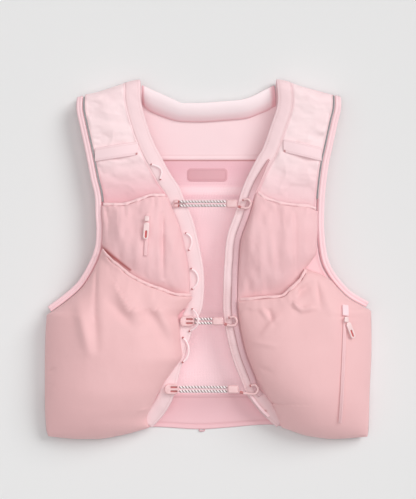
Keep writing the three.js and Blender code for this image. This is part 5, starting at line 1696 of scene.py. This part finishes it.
@dataclass
class Closure:
    """A closure across the front: a clip or two sockets, two cords, a sleeve and a hook."""

    shop: Workshop
    spec: ClosureSpec
    pitch: float = 4.8
    strand_radius: float = 1.65
    sag: float = 1.5
    clip_size: tuple[float, float, float] = (17, 12.6, 4.2)
    slot_size: tuple[float, float] = (8, 1.9)
    sleeve_size: tuple[float, float, float] = (13, 9.6, 4.6)
    wire: float = 3.2
    bars: float = 9.6
    tip: float = 8

    def build(self) -> None:
        """Makes the closure's pieces."""
        name = self.spec.name
        y = self.spec.up * self.shop.form.half_length
        if self.spec.clip:
            self.clip(self.shop.middle_of(f"{name}_clip"))
        for n, row in enumerate((1, -1), 1):
            self.strand(n, y + row * self.pitch / 2)
        sleeve = self.shop.middle_of(f"{name}_sleeve")
        self.sleeve(sleeve)
        self.hook(y, sleeve)

    def clip(self, centre: Grid) -> None:
        """The rounded clip with its two dark slots."""
        length, width, thick = self.clip_size
        slot_length, slot_width = self.slot_size
        x = length / 2 - slot_length / 2 - slot_width
        holes = [[(px + x, py + row * self.pitch / 2) for px, py in
                  reversed(slab_outline(slot_length, slot_width, slot_width / 2.1))] for row in (-1, 1)]
        body = plate([slab_outline(length, width, width / 2.3), *holes], thick, 0.9)
        # Painted shade: a dark plate under the two slots
        floor = plate([slab_outline(slot_length + 1.2, width * 0.75, 0.6)], 1.2, 0.2)
        floor.points += np.array([x, 0, -thick * 0.15])
        floor.mark[:] = 1
        body = placed(Body.joined([body, floor]), centre)
        self.shop.piece(f"{self.spec.name}_clip_body", body, Finishes.clips, f"{self.spec.name}_clip")

    def strand(self, n: int, y: float) -> None:
        """One braided cord, and its socket where there is one."""
        name = self.spec.name
        low, high = self.shop.place_of(f"{name}_strand_{n}")
        left, right = self.ends(n)
        steps = np.linspace(0, 1, 9)
        z = between(left, right, steps) - self.sag * np.sin(np.pi * steps)
        points = np.column_stack([between(low[0], high[0], steps), np.full(len(steps), y), z])
        self.shop.piece(f"{name}_cord_{n}", cord(points, self.strand_radius, 90, 16), Finishes.braid,
                        f"{name}_strand_{n}")
        if not self.spec.clip:
            a, b = self.shop.place_of(f"{name}_socket_{n}")
            middle, radius = (a + b) / 2, (b[2] - a[2]) / 2
            t = np.linspace(0, 1, 31)
            mark = (t > 0.8).astype(float)[:, None]
            line = [(x, middle[1], middle[2]) for x in (a[0], b[0])]
            body = cord(line, radius, 30, 16, mark=mark)
            self.shop.piece(f"{name}_end_{n}", body, Finishes.clips, f"{name}_socket_{n}")

    def ends(self, n: int) -> tuple[float, float]:
        """Heights of a cord's two ends."""
        other = f"{self.spec.name}_clip" if self.spec.clip else f"{self.spec.name}_socket_{n}"
        return self.shop.middle_of(other)[2], self.shop.middle_of(f"{self.spec.name}_sleeve")[2]

    def sleeve(self, centre: Grid) -> None:
        """The moulded sleeve that holds both cords."""
        length, width, thick = self.sleeve_size
        body = placed(plate([slab_outline(length, width, 2.2)], thick, 1.5), centre)
        self.shop.piece(f"{self.spec.name}_sleeve_body", body, Finishes.clips, f"{self.spec.name}_sleeve")

    def hook(self, y: float, sleeve: Grid) -> None:
        """The C-shaped hook over the rail, as in the frame's own solid."""
        form = self.shop.form
        high = self.shop.place_of(f"{self.spec.name}_hook")[1]
        inner = float(form.front_out(Side.RIGHT, y, form.rail_inset))
        bar, bend, top = self.bars / 2, inner + self.wire / 2, high[2] - self.wire / 2
        end = sleeve[0] + self.sleeve_size[0] / 2
        points = [(end + 0.4, y - bar * 0.6, sleeve[2]),
                  (end + (bend - end) * 0.35, y - bar, sleeve[2] + (top - sleeve[2]) * 0.8),
                  (bend - bar * 0.6, y - bar, top), (bend, y, top), (bend - bar * 0.6, y + bar, top),
                  (inner - self.tip * 0.6, y + bar, top - 0.4), (inner - self.tip, y + bar * 0.8, top - 1.2)]
        t = np.linspace(0, 1, 111)
        mark = 0.8 * (((t > 0.03) & (t < 0.14)) | (t > 0.95)).astype(float)[:, None]
        self.shop.piece(f"{self.spec.name}_hook_body", cord(points, self.wire / 2, 110, 14, mark=mark),
                        Finishes.clips, f"{self.spec.name}_hook")


# Rows of (up, to up, out, to out, bulge, hump)
EDGE_LOOPS = ((0.525, 0.436, 0.352, 0.292, 0.283, 1), (0.146, 0.047, 0.14, 0.12, 0.1, 1),
              (-0.05, -0.168, 0.108, 0.102, 0.061, 1), (-0.273, -0.4, 0.1, 0.118, 0.06, 6.6),
              (-0.43, -0.574, 0.158, 0.16, 0.118, 1))
# Stretches of y where the rail's edge is dark, in millimetres
RAIL_SHADOWS = ((-33, -64), (-82, -144))


@dataclass
class Edges:
    """What runs along the opening: the cord loops on the left, the rail and its end loop on the right."""

    shop: Workshop
    rail: tuple[float, float] = (0.21, 0.905)
    rail_thick: float = 2.6
    end: tuple[float, float] = (0.885, 0.965)
    end_width: float = 3.6
    end_thick: float = 1.4
    end_inset: float = 2.6
    loop_radius: float = 1.2

    def build(self) -> None:
        """Makes the loops and the rail."""
        form = self.shop.form
        for n, (up, to_up, out, to_out, bulge, hump) in enumerate(EDGE_LOOPS, 1):
            t = np.linspace(0, 1, 7)
            swell = np.sin(np.pi * t) ** 0.7
            x = -between(between(out, to_out, t), bulge, swell) * form.half_width
            y = between(up, to_up, t) * form.half_length
            lift = form.cloth / 2 + form.seam_gap + self.loop_radius + hump * np.sin(np.pi * t)
            points = form.on_front(Side.LEFT, np.stack([x, y], -1), lift)
            # Painted shade at both ends of each loop, for the openings where it enters the tape
            ends = np.linspace(0, 1, 61)
            mark = (np.minimum(ends, 1 - ends) < 0.06).astype(float)[:, None]
            self.shop.piece(f"loop_{n}", cord(points, self.loop_radius, 60, mark=mark), Finishes.loop_cord,
                            f"edge_loop_{n}")
        self.strip("rail", self.rail, form.rail_inset, form.rail_width, self.rail_thick, Finishes.rail,
                   "hook_rail")
        self.strip("end_loop", self.end, self.end_inset, self.end_width, self.end_thick, Finishes.tape,
                   "rail_end_loop", self.end_thick)

    def strip(self, name: str, stretch: tuple[float, float], inset: float, width: float, thick: float,
              finish: ClothFinish, node: str, hump: float = 0.0) -> None:
        """A narrow strip beside the right front edge.

        Args:
            name: the piece's name.
            stretch: shares of the edge's length where it starts and ends.
            inset: distance from the edge.
            width: its width.
            thick: its thickness.
            finish: what it is made of.
            node: the CAD node that it stands for.
            hump: height of a bow in its middle.
        """
        form = self.shop.form
        k = np.linspace(0, 1, 320)
        t = between(*stretch, k)
        lift = (form.cloth + thick) / 2 + form.seam_gap
        plan = form.beside("front", Side.RIGHT, t, inset)
        beside = form.beside("front", Side.RIGHT, t, inset - 1)
        centre = form.on_front(Side.RIGHT, plan, lift + hump * np.sin(np.pi * k))
        across = unit(np.column_stack([plan - beside, np.zeros(len(k))]))
        up = np.tile([0.0, 0, 1], (len(k), 1))
        a = np.linspace(-1, 1, 11)
        top = (1 - np.abs(a) ** 3 * 0.6) * thick / 2
        section = flat_footed(a * width / 2, top, -thick / 2)
        taper = np.where(k < 0.1, 0.35 + 6.5 * k, 1.0) if name == "rail" else np.ones_like(k)
        section = section[None] * np.stack([taper, np.ones_like(taper)], -1)[:, None, :]
        mark = np.zeros((len(k), section.shape[1]))
        # Painted shade: darker edges, most in the rail's shadowed stretches and all along the end loop; the
        # rail's tapered top end is darker too
        y = plan[:, 1]
        dark = np.any([(y < top_y) & (y > foot_y) for top_y, foot_y in RAIL_SHADOWS], axis=0)
        mark[:, 0] = mark[:, -1] = np.where(dark | (name == "end_loop"), 0.9, 0.15)
        if name == "rail":
            mark += 0.3 * (1 - ease(k, 0.06, 0.2))[:, None]
        self.shop.piece(name, swept(centre, across, up, section, mark=mark), finish, node)


@dataclass(frozen=True)
class ZipSpec:
    """A zip: its side, line, slider's place, how its pull is turned, and how its teeth show."""

    name: str
    side: Side
    start: tuple[float, float]
    end: tuple[float, float]
    slider: tuple[float, float]
    turn: float
    relief: float
    shade: float
    finish: ClothFinish


ZIPS = (ZipSpec("chest", Side.LEFT, (0.366, 0.25), (0.378, 0.02), (0.37, 0.215), -0.07,
                0.15, 0.0, Finishes.chest_coil),
        ZipSpec("side", Side.RIGHT, (0.826, -0.335), (0.8, -0.9), (0.822, -0.333), 0.42,
                0.4, 0.5, Finishes.coil))


@dataclass
class Zip:
    """A zip on a pocket, with its slider and pull."""

    shop: Workshop
    spec: ZipSpec
    width: float = 3.4
    thick: float = 1.2
    gap: float = 0.7
    tooth: float = 1.5
    slider_size: tuple[float, float, float] = (5.4, 6.4, 3)
    pull_size: tuple[float, float, float] = (6.6, 20, 2)
    slot_size: tuple[float, float] = (2.4, 9)

    def top(self, x: Grid, y: Grid) -> Grid:
        """Points on the middle of the pocket's wall."""
        form, side = self.shop.form, self.spec.side
        x, y = np.broadcast_arrays(np.asarray(x, float), np.asarray(y, float))
        if self.spec.name == "chest":
            z = form.front_height(side, x, y) + form.chest_lift(side, x, y)
        else:
            z = form.lower_top(side, x, y)
        return np.stack([x, y, z], -1)

    def build(self) -> None:
        """Makes the zip's pieces."""
        form, spec = self.shop.form, self.spec
        u, v = spread(220, 9)
        sign = spec.side.sign
        x = sign * between(spec.start[0], spec.end[0], v) * form.half_width + (u - 0.5) * self.width
        y = between(spec.start[1], spec.end[1], v) * form.half_length
        teeth = np.abs(np.sin(np.pi * (y / self.tooth + (u > 0.5) * 0.5)))
        relief = spec.relief * teeth * bell(u, 0.5, 0.3)
        points = raised(self.top(x, y), (form.cloth + self.thick) / 2 + self.gap + relief)
        body = wall(points, self.thick, spec.shade * bell(u, 0.5, 0.12))
        self.shop.piece(f"{spec.name}_coil", body, spec.finish, f"{spec.name}_zip")
        self.metal()

    def metal(self) -> None:
        """The slider and the pull, laid on the pocket's slope."""
        form, spec = self.shop.form, self.spec
        x, y = spec.side.sign * spec.slider[0] * form.half_width, spec.slider[1] * form.half_length
        on_tape = form.cloth / 2 + 2 * self.gap + self.thick
        sw, sl, st = self.slider_size
        slider = plate([slab_outline(sw, sl, 1.4)], st, 0.8)
        self.lay(slider, x, y, 0.0, on_tape + st / 2)
        self.shop.piece(f"{spec.name}_slider", slider, Finishes.plastic, f"{spec.name}_zip_slider")
        pw, pl, pt = self.pull_size
        lw, ll = self.slot_size
        slot = [(px, py - pl / 5) for px, py in reversed(slab_outline(lw, ll, lw / 2.1))]
        pull = plate([slab_outline(pw, pl, pw / 2.2), slot], pt, 0.5)
        # Painted shade: a dark plate under the pull's slot
        floor = plate([slab_outline(lw + 1, ll + 1, 0.5)], 0.5, 0.1)
        floor.points += np.array([0, -pl / 5, -pt * 0.2])
        floor.mark[:] = 1
        body = Body.joined([pull, floor])
        reach = (sl + pl) / 2 + form.seam_gap
        x, y = x + reach * math.sin(spec.turn), y - reach * math.cos(spec.turn)
        self.lay(body, x, y, spec.turn, on_tape + pt / 2)
        self.shop.piece(f"{spec.name}_pull", body, Finishes.plastic, f"{spec.name}_zip_pull")

    def lay(self, body: Body, x: float, y: float, turn: float, lift: float) -> None:
        """Lays a plate on the pocket's slope, turned about its normal."""
        reach = 4
        east = self.top(x + reach, y) - self.top(x - reach, y)
        north = self.top(x, y + reach) - self.top(x, y - reach)
        up = Vector(np.cross(east, north)).normalized()
        north = Vector(north).normalized()
        along = north * math.cos(turn) + up.cross(north) * math.sin(turn)
        across = along.cross(up).normalized()
        placed(body, self.top(x, y) + np.array(up) * lift, across, along)


@dataclass
class Garage:
    """The small flap over the top of the side zip."""

    shop: Workshop
    place: tuple[float, float] = (0.826, -0.283)
    size: tuple[float, float] = (8, 13.5)

    def build(self) -> None:
        """Makes the flap."""
        form = self.shop.form
        body = plate([slab_outline(*self.size, 1.2)], form.cloth, 0.4)
        zipper = Zip(self.shop, ZIPS[1])
        x, y = self.place[0] * form.half_width, self.place[1] * form.half_length
        zipper.lay(body, x, y, 0.0, form.layer)
        self.shop.piece("garage", body, Finishes.tape, "side_zip_garage")


@dataclass
class Studio:
    """The pale floor, the soft lights and the camera over the vest."""

    aim: tuple[float, float] = (-0.00024, 0.0115)
    height: float = 2.2
    field_width: float = 0.4992
    suns = (("key", (0.95, 0.7, 1.0), 34, 1.75), ("fill", (-0.7, -0.1, 1.3), 60, 0.36))
    lamp_place: tuple[float, float, float] = (0.0, -0.1, 2.6)
    lamp_size: float = 1.5
    lamp_watts: float = 17
    floor_grey: float = 0.80
    floor_reach: float = 4.0
    sky_colour: tuple[float, float, float, float] = (1.0, 0.985, 0.98, 1)
    sky_strength: float = 0.3
    sensor: float = 36
    cloth_height: float = 0.01

    def build(self) -> None:
        """Makes the studio."""
        self.floor()
        for name, place, degrees, strength in self.suns:
            self.sun(name, place, degrees, strength)
        self.overhead()
        self.sky()
        self.camera()

    def floor(self) -> None:
        """The plain floor."""
        mesh = bpy.data.meshes.new("floor")
        r = self.floor_reach
        mesh.from_pydata([(-r, -r, 0), (r, -r, 0), (r, r, 0), (-r, r, 0)], [], [(0, 1, 2, 3)])
        floor = shown("floor", mesh)
        sheet = ShaderSheet("paper")
        sheet.set(Base_Color=(self.floor_grey,) * 3, Roughness=0.9)
        mesh.materials.append(sheet.material)

    def overhead(self) -> None:
        """A soft square light that looks at the vest."""
        lamp = bpy.data.lights.new("overhead", "AREA")
        lamp.size = self.lamp_size
        lamp.energy = self.lamp_watts
        holder = shown("overhead", lamp)
        holder.location = self.lamp_place
        holder.rotation_euler = Vector(self.lamp_place).to_track_quat("Z", "Y").to_euler()

    def sun(self, name: str, place: Sequence[float], degrees: float, strength: float) -> None:
        """A broad distant light, even over the whole floor."""
        lamp = bpy.data.lights.new(name, "SUN")
        lamp.angle = math.radians(degrees)
        lamp.energy = strength
        shown(name, lamp).rotation_euler = Vector(place).to_track_quat("Z", "Y").to_euler()

    def sky(self) -> None:
        """Even light from all round."""
        world = bpy.data.worlds.new("room")
        world.use_nodes = True
        background = world.node_tree.nodes["Background"]
        background.inputs[0].default_value = self.sky_colour
        background.inputs[1].default_value = self.sky_strength
        bpy.context.scene.world = world

    def camera(self) -> None:
        """The camera straight above, its top towards the shoulders."""
        lens = bpy.data.cameras.new("camera")
        lens.sensor_fit = "HORIZONTAL"
        lens.sensor_width = self.sensor
        lens.lens = self.sensor * (self.height - self.cloth_height) / self.field_width
        lens.clip_end = 20
        camera = shown("camera", lens)
        camera.location = (*self.aim, self.height)
        bpy.context.scene.camera = camera
        bpy.context.scene.view_settings.view_transform = "Standard"


def main() -> None:
    """Builds the vest and its studio."""
    logging.basicConfig(level=logging.INFO, format="%(message)s")
    shop = Workshop(FORM)
    Back(shop).build()
    for side in Side:
        Front(shop, side).build()
        for pocket in POCKETS:
            Pocket(shop, side, pocket).build()
    Edges(shop).build()
    for spec in CLOSURES:
        Closure(shop, spec).build()
    for spec in ZIPS:
        Zip(shop, spec).build()
    Garage(shop).build()
    Studio().build()
    log.info("made %d pieces", len(shop.names))


if __name__ == "__main__":
    main()
